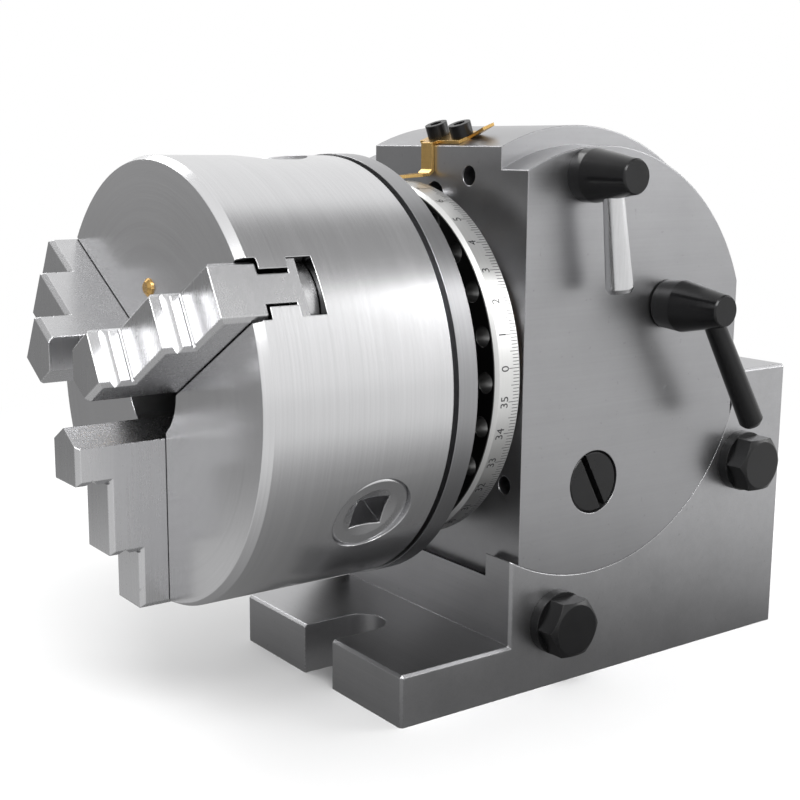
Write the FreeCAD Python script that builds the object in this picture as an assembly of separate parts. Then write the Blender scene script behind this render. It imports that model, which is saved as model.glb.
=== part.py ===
import FreeCAD, Part

# Semi-universal dividing head with a three-jaw scroll chuck, in millimetres.
# +X runs along the spindle towards the chuck, +Y towards the clamping levers and +Z up. The origin
# is on the underside of the base, below the tilt axis and half way across the width. Angles around
# the spindle turn from +Y towards +Z. The tilt axis crosses the spindle axis at x = 0.

import os
from math import acos, atan2, cos, degrees, pi, radians, sin, sqrt, tan

Vector = FreeCAD.Vector
X, Y, Z = Vector(1, 0, 0), Vector(0, 1, 0), Vector(0, 0, 1)

# Fits and clearances
RUN = 0.03                  # radial running clearance of shafts and bores
SLIDE = 0.05                # clearance on each side of flat guides
FREE = 0.3                  # gap between neighbours that don't touch
OVERCUT = 1.0               # how far a cutting tool runs past the face it opens
EDGE = 0.8                  # broken edges of castings
SINK = 0.5                  # how far teeth are sunk into what carries them
SLOT_NECK_GAP = 1.1         # each side of a jaw's neck in its slot
SLOT_BACK_GAP = 0.5         # behind a jaw's body
SLOT_SIDE_GAP = 0.35        # each side of a jaw's body

# Base
CENTRE_HEIGHT = 100.0
BASE_WIDTH = 88.0
BASE_REAR = 89.5
CHEEK_THICKNESS = 12.0
CHEEK_TOP = 92.5
WALL_FRONT = 33.0
FLANGE_FRONT = 73.5
FLANGE_THICKNESS = 16.0
SLOT_WIDTH = 16.0
FRONT_SLOT_CENTRE = 57.5
REAR_SLOT_CENTRE = 68.0
NICHE_WIDTH = 32.0
NICHE_TOP = 56.0
NICHE_DEPTH = 36.0
CRADLE_WALL = 7.0
BAR_NOTCH_RADIUS = 12.0      # room over the rear wall for bar stock in the spindle

# Clamp bolts on both sides of the base: direction from the tilt axis, distance outside the drum
CLAMP_SPOTS = ((-79.25, 8.41), (-150.3, 5.71))
CLAMP_BOLT_RADIUS = 5.0
CLAMP_HEAD_FLATS = 17.0
CLAMP_HEAD_HEIGHT = 7.0
CLAMP_WASHER_RADIUS = 10.0
CLAMP_WASHER_THICKNESS = 3.5
SHOE_RADIUS = 9.0
SHOE_LENGTH = 13.0

# Swivel housing
DRUM_RADIUS = 72.0
DISC_RADIUS = 66.0
HEAD_FRONT = 30.0
HEAD_REAR = 62.0
COVER_RADIUS = 28.0
COVER_THICKNESS = 4.0
COVER_HOLE_RADIUS = 10.5
COVER_SCREW_CIRCLE = 25.0
COVER_SCREW_RADIUS = 2.0
COVER_SCREW_LENGTH = 12.0
OIL_HOLES = ((17.0, 56.7, 3.0), (36.5, -35.3, 2.8))   # y, height above the spindle, radius
OIL_HOLE_DEPTH = 12.0

# Worm gear
WORM_DROP = 36.9            # worm axis below the spindle axis
WHEEL_TEETH = 40
GEAR_MODULE = 1.25
GEAR_PRESSURE = 20.0
GEAR_BACKLASH = 0.16
GEAR_TIP_GAP = 0.3
WHEEL_WIDTH = 16.0
WORM_THREAD_LENGTH = 23.0
WORM_JOURNAL_RADIUS = 8.0
WORM_END_RADIUS = 6.0
WORM_END_LENGTH = 10.0

# Spindle
BORE_RADIUS = 9.0
TAPER_MOUTH_RADIUS = 11.92
TAPER_LENGTH = 60.0
TAPER_RATE = 1 / 19.922     # on diameter, as a number 3 Morse taper
NOSE_RADIUS = 19.0
NOSE_END = 68.5
DIAL_SEAT_RADIUS = 30.0
SPINDLE_FLANGE_RADIUS = 42.0
FRONT_JOURNAL_RADIUS = 20.0
WHEEL_SEAT_RADIUS = 16.0
REAR_JOURNAL_RADIUS = 14.0
THREAD_RADIUS = 12.0
REAR_BUSH_RADIUS = 18.0
REAR_BUSH_LENGTH = 15.7
FRONT_BUSH_RADIUS = 28.0
FRONT_BUSH_LENGTH = 13.0
BUSH_FLANGE_RADIUS = 33.0
BUSH_FLANGE_THICKNESS = 3.0
THRUST_THICKNESS = 2.9
THRUST_RADIUS = 20.5
NUT_RADIUS = 19.0
NUT_THICKNESS = 8.0
KEY_WIDTH = 5.0
KEY_HEIGHT = 5.0
KEY_DEPTH = 3.0
KEY_LENGTH = 13.0

# Dial
DIAL_REAR = 41.0
DIAL_WIDTH = 8.5
DIAL_RADIUS = 55.0
DIAL_BEVEL = 1.2
INDEX_HOLES = 24
INDEX_CIRCLE = 50.2
INDEX_HOLE_RADIUS = 3.0
DIAL_SCREW_CIRCLE = 36.0
DIAL_SCREW_RADIUS = 2.5
DIAL_SCREW_LENGTH = 14.0

# Chuck
BACK_PLATE_REAR = 62.0
BACK_PLATE_FRONT = 69.0
BACK_PLATE_RIM = 0.5         # back plate beyond the chuck body
BACK_PLATE_HUB_RADIUS = 31.0
GROOVE_WIDTH = 1.5
GROOVE_DEPTH = 3.0
REGISTER_RADIUS = 47.5
REGISTER_LENGTH = 4.0
CHUCK_RADIUS = 62.5
CHUCK_FACE = 128.0
CHUCK_BEVEL = (2.5, 1.2)    # along the spindle, across it
CHUCK_BORE_RADIUS = 15.0
CHUCK_HUB_RADIUS = 20.0
CHUCK_COVER_THICKNESS = 4.0
CHUCK_COVER_SHOULDER = 0.7
CHUCK_SCREW_CIRCLE = 54.0
CHUCK_SCREW_RADIUS = 3.0
CHUCK_SCREW_LENGTH = 18.0
CHUCK_SCREW_SINK = 4.0
NIPPLE_CIRCLE = 26.7
NIPPLE_RADIUS = 2.6
NIPPLE_LENGTH = 9.0
NIPPLE_RISE = 1.2

# Scroll and jaws
JAW_ANGLES = (30.0, 150.0, 270.0)
SCROLL_PITCH = 8.0
RIDGE_WIDTH = 3.8
RIDGE_HEIGHT = 4.4
SCROLL_INNER = 22.0
SCROLL_OUTER = 46.4
SCROLL_FACE = 107.0
SLOT_FLOOR = 107.1
SCROLL_THICKNESS = 5.5
JAW_TIP = 9.5               # spindle axis to the tip of a jaw, as stored
JAW_END = 61.5
JAW_WIDTH = 16.0
JAW_NECK = 8.0
JAW_FOOT_BACK = 107.35
JAW_FOOT_FRONT = 114.45
JAW_BODY_BACK = 123.45
JAW_STEPS = ((61.5, 136.5), (45.0, 145.0), (24.5, 154.0))   # outer end and top of each step
JAW_TIP_ANGLE = 120.0
JAW_TOOTH = 3.7
STEP_GROOVE = 1.5
JAW_BEVEL = 1.2
RISER_RELIEF = 0.5          # radius of the relief at the foot of each riser
TOOTH_CONVEX = 15.0         # radius of the outer side of a jaw tooth
TOOTH_CONCAVE = 52.0        # radius of its inner side

# Pinions
PINION_X = 90.8
PINION_TEETH = 9
CROWN_TEETH = 45
PINION_PITCH_RADIUS = 8.0
PINION_PRESSURE = 25.0
PINION_ADDENDUM = 1.3
PINION_DEDENDUM = 1.75
PINION_BACKLASH = 0.35
MESH_RADIUS = 40.0          # where pinion and crown teeth have their nominal size
BEVEL_INNER = 35.0
BEVEL_OUTER = 45.0
PINION_RADIUS = 12.0
PINION_SINK = 1.2
PINION_SQUARE = 10.0
PINION_SQUARE_DEPTH = 12.0
PINION_RELIEF_DEPTH = 2.0
PINION_RELIEF_RADIUS = 8.2
PINION_PIN_RADIUS = 2.0
PINION_GROOVE = (50.5, 55.5)
PINION_GROOVE_DEPTH = 1.6

# Worm sleeve, index plate and crank, on the -Y side
SLEEVE_RADIUS = 20.0
SLEEVE_ECCENTRICITY = 3.0
SLEEVE_INNER_END = 24.0
SLEEVE_FLANGE_RADIUS = 25.0
SLEEVE_FLANGE_THICKNESS = 13.0
SLEEVE_WALL_END = 24.0
PLUG_RADIUS = 10.0
PLUG_SLOT = (2.2, 3.0)      # width and depth
PLUG_SLOT_ANGLE = 118.0
INDEX_PLATE_RADIUS = 52.0
INDEX_PLATE_THICKNESS = 5.0
PLATE_SEAT_RADIUS = 15.0
PLATE_HOLES = 20
PLATE_CIRCLE = 44.0
PLATE_HOLE_RADIUS = 1.6
PLATE_SCREW_CIRCLE = 20.0
PLATE_SCREW_RADIUS = 2.0
PLATE_SCREW_LENGTH = 13.0
SECTOR_SPIGOT_RADIUS = 11.5
SECTOR_THICKNESS = 1.6
SECTOR_RING_RADIUS = 17.0
SECTOR_BLADE_WIDTH = 6.0
SECTOR_BLADE_END = 50.0
SECTOR_ANGLES = (85.0, 25.0)
SECTOR_GAP = 0.1
CRANK_HUB_RADIUS = 14.0
CRANK_THICKNESS = 8.0
CRANK_STANDOFF = 2.5
CRANK_ANGLE = 120.0
CRANK_SLOT = (24.0, 48.0)   # radii of the ends of the slot
CRANK_END_RADIUS = 10.0
CRANK_SHAFT_RADIUS = 6.0
CRANK_NUT_FLATS = 17.0
CRANK_NUT_HEIGHT = 6.0
PLUNGER_SLEEVE_RADIUS = 4.5
PLUNGER_COLLAR_RADIUS = 8.5
PLUNGER_COLLAR_THICKNESS = 3.0
PLUNGER_BARREL_RADIUS = 7.5
PLUNGER_BARREL_LENGTH = 24.0
PLUNGER_PIN_RADIUS = 2.5
PLUNGER_TIP_RADIUS = 1.5
PLUNGER_TIP_LENGTH = 5.5
PLUNGER_INSERTION = 3.0
KNOB_RADIUS = 9.5
KNOB_LENGTH = 17.0

# Direct index pin and its lever
INDEX_LEVER_PLACE = (7.0, 57.3)     # x, height above the spindle
INDEX_SHAFT_RADIUS = 7.15
INDEX_PIN_RADIUS = 4.4
INDEX_PIN_TIP_RADIUS = 2.85
INDEX_PIN_TIP_LENGTH = 9.0
INDEX_PIN_LENGTH = 42.0
INDEX_PIN_TRAVEL = 5.8
RACK_MODULE = 1.0
RACK_TEETH = 12
RACK_HALF_WIDTH = 5.0
INDEX_HUB = ((0.0, 8.0), (4.5, 8.0), (20.0, 5.2), (20.5, 4.8))      # out from the side, radius
INDEX_HANDLE_OUT = 10.5
INDEX_HANDLE_LEAN = 8.0
INDEX_HANDLE = ((3.0, 3.1), (9.0, 3.3), (33.0, 4.2), (34.4, 3.4))   # from the hub axis, radius

# Spindle lock and its lever
LOCK_PLACE = (-29.0, 17.0)
COTTER_RADIUS = 6.0
COTTER_GAP = 4.0
COTTER_LENGTH = 11.0
LOCK_STUD_RADIUS = 2.5
LOCK_HUB = ((0.6, 7.6), (8.0, 8.2), (24.0, 5.0), (24.5, 4.6))
LOCK_HANDLE_OUT = 17.5
LOCK_HANDLE_LEAN = 31.5
LOCK_HANDLE = ((3.5, 3.2), (9.0, 3.4), (43.5, 3.9), (44.8, 3.1))

# Pointer
POINTER_ANGLE = 20.0        # from the top of the drum towards the front
POINTER_THICKNESS = 1.0
POINTER_PLATE = (-9.0, 10.5, 4.5)   # y from, y to, half length along the drum
POINTER_TAIL = (7.5, 2.6)   # length past the plate, rise
POINTER_STRIP = (-5.8, -0.2)
POINTER_SCREWS = (-4.6, 7.2)
POINTER_SCREW_RADIUS = 2.0
POINTER_SCREW_LENGTH = 8.0

# Worked out from the sizes above
CLAMP_PLACES = [((DRUM_RADIUS + gap) * cos(radians(angle)), CENTRE_HEIGHT + (DRUM_RADIUS + gap) * sin(radians(angle)))
                for angle, gap in CLAMP_SPOTS]
BACK_PLATE_RADIUS = CHUCK_RADIUS + BACK_PLATE_RIM
HALF_WIDTH = BASE_WIDTH / 2
DRUM_HALF = HALF_WIDTH - CHEEK_THICKNESS
WORM_Z = CENTRE_HEIGHT - WORM_DROP
WHEEL_PITCH_RADIUS = GEAR_MODULE * WHEEL_TEETH / 2
WORM_PITCH_RADIUS = WORM_DROP - WHEEL_PITCH_RADIUS
WORM_TIP_RADIUS = WORM_PITCH_RADIUS + GEAR_MODULE
WORM_ROOT_RADIUS = WORM_PITCH_RADIUS - GEAR_MODULE - GEAR_TIP_GAP
WORM_BORE_RADIUS = WORM_TIP_RADIUS + FREE
WORM_LEAD = pi * GEAR_MODULE
WHEEL_HALF = WHEEL_WIDTH / 2
WHEEL_WALL = -(WHEEL_HALF + THRUST_THICKNESS + 2 * SLIDE)
DIAL_FRONT = DIAL_REAR + DIAL_WIDTH
SHOULDER_X = HEAD_FRONT + BUSH_FLANGE_THICKNESS + SLIDE
CHUCK_REAR = BACK_PLATE_FRONT + GROOVE_WIDTH
COVER_FRONT = CHUCK_REAR + REGISTER_LENGTH + CHUCK_COVER_THICKNESS
CAVITY_RADIUS = REGISTER_RADIUS - CHUCK_COVER_SHOULDER
REAR_BUSH_REAR = -(HEAD_REAR - NUT_THICKNESS - 2)
FLANGE_FACE = -(HALF_WIDTH + SLEEVE_FLANGE_THICKNESS)
PLATE_FACE = FLANGE_FACE - INDEX_PLATE_THICKNESS
SECTOR_FACE = PLATE_FACE - 2 * SECTOR_THICKNESS - 2 * SECTOR_GAP
CRANK_INNER = SECTOR_FACE - CRANK_STANDOFF
CRANK_OUTER = CRANK_INNER - CRANK_THICKNESS
INDEX_PIN_Z = CENTRE_HEIGHT + INDEX_CIRCLE
PLUNGER_TRAVEL = SECTOR_THICKNESS + 2 * SECTOR_GAP + FREE + PLUNGER_INSERTION
CROWN_PHASE = JAW_ANGLES[0] + 180.0 + 180.0 / CROWN_TEETH
RACK_PITCH_RADIUS = RACK_MODULE * RACK_TEETH / 2


def cylinder(radius, start, end):
    """A round bar between two points."""
    axis = end - start
    return Part.makeCylinder(radius, axis.Length, start, axis)


def box(x_range, y_range, z_range):
    """A block between limits along each axis."""
    size = [high - low for low, high in (x_range, y_range, z_range)]
    return Part.makeBox(*size, Vector(x_range[0], y_range[0], z_range[0]))


def outline(points):
    """A flat face inside a closed run of points."""
    return Part.Face(Part.makePolygon(points + points[:1]))


def turned(profile, origin=Vector(0, 0, CENTRE_HEIGHT), axis=X, radial=Z):
    """Revolves (distance along the axis, radius) pairs about the axis through origin."""
    face = outline([origin + axis * along + radial * radius for along, radius in profile])
    return face.revolve(origin, axis, 360)


def on_spindle(x, radius=0.0, angle=0.0):
    """A point at x along the spindle, at a radius and angle around it."""
    return Vector(x, radius * cos(radians(angle)), CENTRE_HEIGHT + radius * sin(radians(angle)))


def around_spindle(shape, angle):
    """The shape turned about the spindle axis, from +Y towards +Z."""
    return shape.rotated(Vector(0, 0, CENTRE_HEIGHT), X, angle)


def across(x, z, y):
    """A point on a line that runs across the head."""
    return Vector(x, y, z)


def crosswise(radius, x, z, y_start, y_end):
    """A round bar that runs across the head."""
    return cylinder(radius, across(x, z, y_start), across(x, z, y_end))


def evenly(count, first=0.0):
    """Angles of a ring of equal steps."""
    return [first + 360.0 * i / count for i in range(count)]


def fused(shapes):
    """One solid out of touching or overlapping shapes."""
    return shapes[0].multiFuse(shapes[1:]).removeSplitter()


def cap_screw(head, direction, radius, length, head_radius, head_height, socket=True):
    """A cap screw: head is the middle of its top, direction points down the shank."""
    seat = head + direction * head_height
    screw = cylinder(head_radius, head, seat).fuse(cylinder(radius, seat, seat + direction * length))
    if not socket:
        return screw
    side = direction.cross(Y if abs(direction.y) < 0.5 else X).normalize()
    corners = []
    for angle in evenly(6):
        spoke = FreeCAD.Rotation(direction, angle).multVec(side)
        corners.append(head + spoke * radius)
    return screw.cut(outline(corners).extrude(direction * head_height * 0.6))


def hexagon(flats, start, end):
    """A hexagonal bar across the head, between two points that differ only in y."""
    reach = flats / sqrt(3)
    corners = [start + Vector(reach * cos(radians(a)), 0, reach * sin(radians(a))) for a in evenly(6)]
    return outline(corners).extrude(end - start)


def largest(shape):
    """The biggest solid of a shape, without slivers that a cut has left beside it."""
    return max(shape.Solids, key=lambda solid: solid.Volume)


# ---- Base ------------------------------------------------------------------------------------

def base():
    """Casting with two cheeks, a round cradle, table slots at both ends and shoe bores."""
    side = [(-BASE_REAR, 0), (FLANGE_FRONT, 0), (FLANGE_FRONT, FLANGE_THICKNESS),
            (WALL_FRONT, FLANGE_THICKNESS), (WALL_FRONT, CHEEK_TOP), (-BASE_REAR, CHEEK_TOP)]
    body = outline([Vector(x, -HALF_WIDTH, z) for x, z in side]).extrude(Y * BASE_WIDTH)
    upper = [edge for edge in body.Edges if edge.BoundBox.ZMin > FLANGE_THICKNESS / 2
             or (edge.BoundBox.ZMax > FLANGE_THICKNESS / 2 and abs(edge.CenterOfMass.y) > DRUM_HALF)]
    inner_corner = [edge for edge in upper if abs(edge.CenterOfMass.y) < DRUM_HALF
                    and abs(edge.CenterOfMass.x - WALL_FRONT) < EDGE
                    and edge.CenterOfMass.z < CHEEK_TOP / 2]
    body = body.makeChamfer(EDGE, [edge for edge in upper if edge not in inner_corner])
    drum_room = DRUM_RADIUS + FREE
    drum_side = DRUM_HALF + SLIDE
    body = body.cut(crosswise(DISC_RADIUS + RUN, 0, CENTRE_HEIGHT, -HALF_WIDTH - 1, HALF_WIDTH + 1))
    body = body.cut(crosswise(drum_room, 0, CENTRE_HEIGHT, -drum_side, drum_side))
    for slot_x, open_x in ((FRONT_SLOT_CENTRE, FLANGE_FRONT), (-REAR_SLOT_CENTRE, -BASE_REAR)):
        body = body.cut(table_slot(slot_x, open_x))
    body = body.cut(rear_niche())
    notch = Vector(-BASE_REAR - OVERCUT, 0, CENTRE_HEIGHT)
    body = body.cut(cylinder(BAR_NOTCH_RADIUS, notch, notch + X * (BASE_REAR - HEAD_REAR)))
    for x, z in CLAMP_PLACES:
        shoe_start = DRUM_HALF - SHOE_LENGTH
        for sign in (1, -1):
            shoe_bore = crosswise(SHOE_RADIUS + RUN, x, z, sign * shoe_start, sign * drum_side)
            bolt_hole = crosswise(CLAMP_BOLT_RADIUS + FREE, x, z, sign * shoe_start,
                                  sign * (HALF_WIDTH + OVERCUT))
            body = body.cut(shoe_bore).cut(bolt_hole)
    return body


def table_slot(centre_x, open_x):
    """Round-ended slot through the flange, open at one end of the base."""
    half = SLOT_WIDTH / 2
    past = open_x + OVERCUT * (1 if open_x > centre_x else -1)
    straight = box(sorted((centre_x, past)), (-half, half), (-OVERCUT, FLANGE_THICKNESS + OVERCUT))
    end = cylinder(half, Vector(centre_x, 0, -OVERCUT), Vector(centre_x, 0, FLANGE_THICKNESS + OVERCUT))
    return straight.fuse(end)


def rear_niche():
    """Room above the rear table slot for a bolt and nut, below the cradle."""
    deep = -BASE_REAR + NICHE_DEPTH
    wall_radius = DRUM_RADIUS + CRADLE_WALL
    top_x = -sqrt(wall_radius ** 2 - (CENTRE_HEIGHT - NICHE_TOP) ** 2)
    bend_z = FLANGE_THICKNESS + (NICHE_TOP - FLANGE_THICKNESS) * 0.25
    points = [(-BASE_REAR - OVERCUT, FLANGE_THICKNESS), (deep, FLANGE_THICKNESS), (deep, bend_z),
              (top_x, NICHE_TOP), (-BASE_REAR - OVERCUT, NICHE_TOP)]
    half = NICHE_WIDTH / 2
    return outline([Vector(x, -half, z) for x, z in points]).extrude(Y * NICHE_WIDTH)


def clamp_set():
    """Bolts, washers and shoes of the four swivel clamps."""
    bolts, washers, shoes = [], [], []
    washer_face = HALF_WIDTH + CLAMP_WASHER_THICKNESS
    head_face = washer_face + CLAMP_HEAD_HEIGHT
    shoe_start = DRUM_HALF - SHOE_LENGTH
    shoe_end = DRUM_HALF - FREE
    for x, z in CLAMP_PLACES:
        for sign in (1, -1):
            washers.append(crosswise(CLAMP_WASHER_RADIUS, x, z, sign * HALF_WIDTH, sign * washer_face)
                           .cut(crosswise(CLAMP_BOLT_RADIUS + FREE, x, z, sign * HALF_WIDTH,
                                          sign * washer_face)))
            head = hexagon(CLAMP_HEAD_FLATS, across(x, z, sign * washer_face), across(x, z, sign * head_face))
            dome = turned([(0, 0), (0, CLAMP_HEAD_FLATS * 0.62), (CLAMP_HEAD_HEIGHT * 0.75,
                          CLAMP_HEAD_FLATS * 0.62), (CLAMP_HEAD_HEIGHT, CLAMP_HEAD_FLATS * 0.46),
                          (CLAMP_HEAD_HEIGHT, 0)], across(x, z, sign * washer_face), Y * sign, Z)
            shank = crosswise(CLAMP_BOLT_RADIUS, x, z, sign * (shoe_start + EDGE), sign * washer_face)
            bolts.append(head.common(dome).fuse(shank))
            shoe = crosswise(SHOE_RADIUS, x, z, sign * (shoe_start + SLIDE), sign * shoe_end)
            shoe = shoe.cut(crosswise(CLAMP_BOLT_RADIUS + RUN, x, z, 0, sign * HALF_WIDTH))
            shoes.append(shoe.cut(crosswise(DRUM_RADIUS + FREE, 0, CENTRE_HEIGHT, -HALF_WIDTH, HALF_WIDTH)))
    return {"clamp_bolts": Part.makeCompound(bolts), "clamp_washers": Part.makeCompound(washers),
            "clamp_shoes": Part.makeCompound(shoes)}


# ---- Swivel housing --------------------------------------------------------------------------

def housing():
    """Drum between two trunnion discs, with a flat front, the spindle bore and the worm bore."""
    body = crosswise(DRUM_RADIUS, 0, CENTRE_HEIGHT, -DRUM_HALF, DRUM_HALF)
    body = body.fuse(crosswise(DISC_RADIUS, 0, CENTRE_HEIGHT, -HALF_WIDTH, HALF_WIDTH)).removeSplitter()
    body = body.common(box((-HEAD_REAR, HEAD_FRONT), (-HALF_WIDTH, HALF_WIDTH),
                           (0, CENTRE_HEIGHT + DRUM_RADIUS + OVERCUT)))
    chamber_rear = WHEEL_WALL
    bush_front = REAR_BUSH_REAR + REAR_BUSH_LENGTH
    body = body.cut(turned([
        (HEAD_FRONT + OVERCUT, 0), (HEAD_FRONT + OVERCUT, FRONT_BUSH_RADIUS), (chamber_rear, FRONT_BUSH_RADIUS),
        (chamber_rear, REAR_JOURNAL_RADIUS + FREE), (bush_front, REAR_JOURNAL_RADIUS + FREE),
        (bush_front, REAR_BUSH_RADIUS), (REAR_BUSH_REAR, REAR_BUSH_RADIUS),
        (REAR_BUSH_REAR, NUT_RADIUS + 2), (-HEAD_REAR - OVERCUT, NUT_RADIUS + 2),
        (-HEAD_REAR - OVERCUT, 0)]))
    sleeve_z = WORM_Z - SLEEVE_ECCENTRICITY
    body = body.cut(crosswise(SLEEVE_RADIUS + RUN, 0, sleeve_z, -HALF_WIDTH - OVERCUT,
                              SLEEVE_INNER_END + FREE))
    body = body.cut(crosswise(PLUG_RADIUS, 0, WORM_Z, 0, HALF_WIDTH + OVERCUT))
    for y, height, radius in OIL_HOLES:
        mouth = Vector(HEAD_FRONT + OVERCUT, y, CENTRE_HEIGHT + height)
        body = body.cut(cylinder(radius, mouth, mouth - X * (OIL_HOLE_DEPTH + OVERCUT)))
    pin_mouth = Vector(HEAD_FRONT + OVERCUT, 0, INDEX_PIN_Z)
    body = body.cut(cylinder(INDEX_PIN_RADIUS + SLIDE, pin_mouth, pin_mouth - X * (INDEX_PIN_LENGTH + 6)))
    lever_x, lever_up = INDEX_LEVER_PLACE
    body = body.cut(crosswise(INDEX_SHAFT_RADIUS + RUN, lever_x, CENTRE_HEIGHT + lever_up,
                              -RACK_HALF_WIDTH - FREE, HALF_WIDTH + OVERCUT))
    lock_x, lock_up = LOCK_PLACE
    cotter_end = COTTER_GAP / 2 + COTTER_LENGTH
    body = body.cut(crosswise(COTTER_RADIUS + RUN, lock_x, CENTRE_HEIGHT + lock_up,
                              -cotter_end - FREE, HALF_WIDTH + OVERCUT))
    for place, direction, length in pointer_screw_axes():
        body = body.cut(cylinder(POINTER_SCREW_RADIUS, place - direction, place + direction * length))
    for angle in evenly(4, 45):
        body = body.cut(cylinder(COVER_SCREW_RADIUS, on_spindle(-HEAD_REAR, COVER_SCREW_CIRCLE, angle),
                                 on_spindle(-HEAD_REAR + COVER_SCREW_LENGTH, COVER_SCREW_CIRCLE, angle)))
    return body


def rear_cover():
    """Round cover over the lock nut, with a hole in line with the spindle bore."""
    outer = -HEAD_REAR - COVER_THICKNESS
    plate = turned([(-HEAD_REAR, COVER_HOLE_RADIUS), (-HEAD_REAR, COVER_RADIUS), (outer + EDGE, COVER_RADIUS),
                    (outer, COVER_RADIUS - EDGE), (outer, COVER_HOLE_RADIUS)])
    for angle in evenly(4, 45):
        hole = on_spindle(outer, COVER_SCREW_CIRCLE, angle)
        plate = plate.cut(cylinder(COVER_SCREW_RADIUS + 0.2, hole, hole + X * COVER_THICKNESS))
        plate = plate.cut(cylinder(COVER_SCREW_RADIUS * 1.3 + 0.1, hole, hole + X * COVER_THICKNESS / 2))
    return plate


def cover_screws():
    """Four flush screws of the rear cover."""
    screws = []
    for angle in evenly(4, 45):
        head = on_spindle(-HEAD_REAR - COVER_THICKNESS, COVER_SCREW_CIRCLE, angle)
        screws.append(cap_screw(head, X, COVER_SCREW_RADIUS - 0.1, COVER_SCREW_LENGTH - 1,
                                COVER_SCREW_RADIUS * 1.3, COVER_THICKNESS / 2, False))
    return Part.makeCompound(screws)


def bushes():
    """Bronze bushes at both ends of the spindle and at the free end of the worm."""
    front = turned([(HEAD_FRONT - FRONT_BUSH_LENGTH, FRONT_JOURNAL_RADIUS + RUN),
                    (HEAD_FRONT - FRONT_BUSH_LENGTH, FRONT_BUSH_RADIUS), (HEAD_FRONT, FRONT_BUSH_RADIUS),
                    (HEAD_FRONT, BUSH_FLANGE_RADIUS),
                    (HEAD_FRONT + BUSH_FLANGE_THICKNESS, BUSH_FLANGE_RADIUS),
                    (HEAD_FRONT + BUSH_FLANGE_THICKNESS, FRONT_JOURNAL_RADIUS + RUN)])
    rear = turned([(REAR_BUSH_REAR, REAR_JOURNAL_RADIUS + RUN), (REAR_BUSH_REAR, REAR_BUSH_RADIUS),
                   (REAR_BUSH_REAR + REAR_BUSH_LENGTH, REAR_BUSH_RADIUS),
                   (REAR_BUSH_REAR + REAR_BUSH_LENGTH, REAR_JOURNAL_RADIUS + RUN)])
    start = WORM_THREAD_LENGTH / 2 + FREE
    worm_axis = Vector(0, 0, WORM_Z)
    worm = turned([(start, WORM_END_RADIUS + RUN), (start, WORM_BORE_RADIUS),
                   (start + WORM_END_LENGTH, WORM_BORE_RADIUS),
                   (start + WORM_END_LENGTH, WORM_END_RADIUS + RUN)], worm_axis, Y)
    return {"front_bush": front, "rear_bush": rear, "worm_bush": worm}


# ---- Worm drive ------------------------------------------------------------------------------


def involute_half_angle(radius, pitch_radius, teeth, pressure, backlash):
    """Half the angle, in radians, that a gear tooth spans at a radius."""
    base_radius = pitch_radius * cos(radians(pressure))
    here = acos(min(1.0, base_radius / max(radius, base_radius)))
    at_pitch = radians(pressure)
    pitch_half = pi / (2 * teeth) - backlash / (4 * pitch_radius)
    return pitch_half + (tan(at_pitch) - at_pitch) - (tan(here) - here)


def gear_points(teeth, pitch_radius, addendum, dedendum, pressure, backlash, phase=0.0):
    """Outline of a spur gear in a plane, as (across, up) pairs with a tooth at the phase angle."""
    levels = [pitch_radius - dedendum, pitch_radius - dedendum * 0.35, pitch_radius,
              pitch_radius + addendum * 0.55, pitch_radius + addendum]
    half = [involute_half_angle(r, pitch_radius, teeth, pressure, backlash) for r in levels]
    points = []
    for tooth in range(teeth):
        middle = 2 * pi * tooth / teeth + phase
        for radius, span in list(zip(levels, half)) + list(zip(levels, [-h for h in half]))[::-1]:
            angle = middle - span
            points.append((radius * cos(angle), radius * sin(angle)))
    return points


def worm_wheel():
    """Helical wheel with its teeth inclined at the lead angle of the worm."""
    lead_slope = WORM_LEAD / (2 * pi * WORM_PITCH_RADIUS)
    twist = WHEEL_HALF * lead_slope / WHEEL_PITCH_RADIUS
    ends = []
    for x, turn in ((-WHEEL_HALF, -twist), (WHEEL_HALF, twist)):
        # A gap stands at the bottom, where the thread of the worm is in mesh.
        phase = -pi / 2 + pi / WHEEL_TEETH + turn
        points = gear_points(WHEEL_TEETH, WHEEL_PITCH_RADIUS, GEAR_MODULE, GEAR_MODULE + GEAR_TIP_GAP,
                             GEAR_PRESSURE, GEAR_BACKLASH, phase)
        corners = [Vector(x, y, CENTRE_HEIGHT + z) for y, z in points]
        ends.append(Part.makePolygon(corners + corners[:1]))
    wheel = Part.makeLoft(ends, True, True)
    wheel = wheel.cut(cylinder(WHEEL_SEAT_RADIUS, on_spindle(-WHEEL_HALF - 1), on_spindle(WHEEL_HALF + 1)))
    return wheel.cut(key_block(SLIDE))


def key_block(clearance=0.0):
    """The key between spindle and worm wheel, or its keyway."""
    low = WHEEL_SEAT_RADIUS - KEY_DEPTH - clearance
    high = WHEEL_SEAT_RADIUS - KEY_DEPTH + KEY_HEIGHT + clearance
    half_length = KEY_LENGTH / 2 if clearance == 0 else WHEEL_HALF
    half = KEY_WIDTH / 2 + clearance
    return box((-half_length, half_length), (-half, half), (CENTRE_HEIGHT + low, CENTRE_HEIGHT + high))


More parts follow.
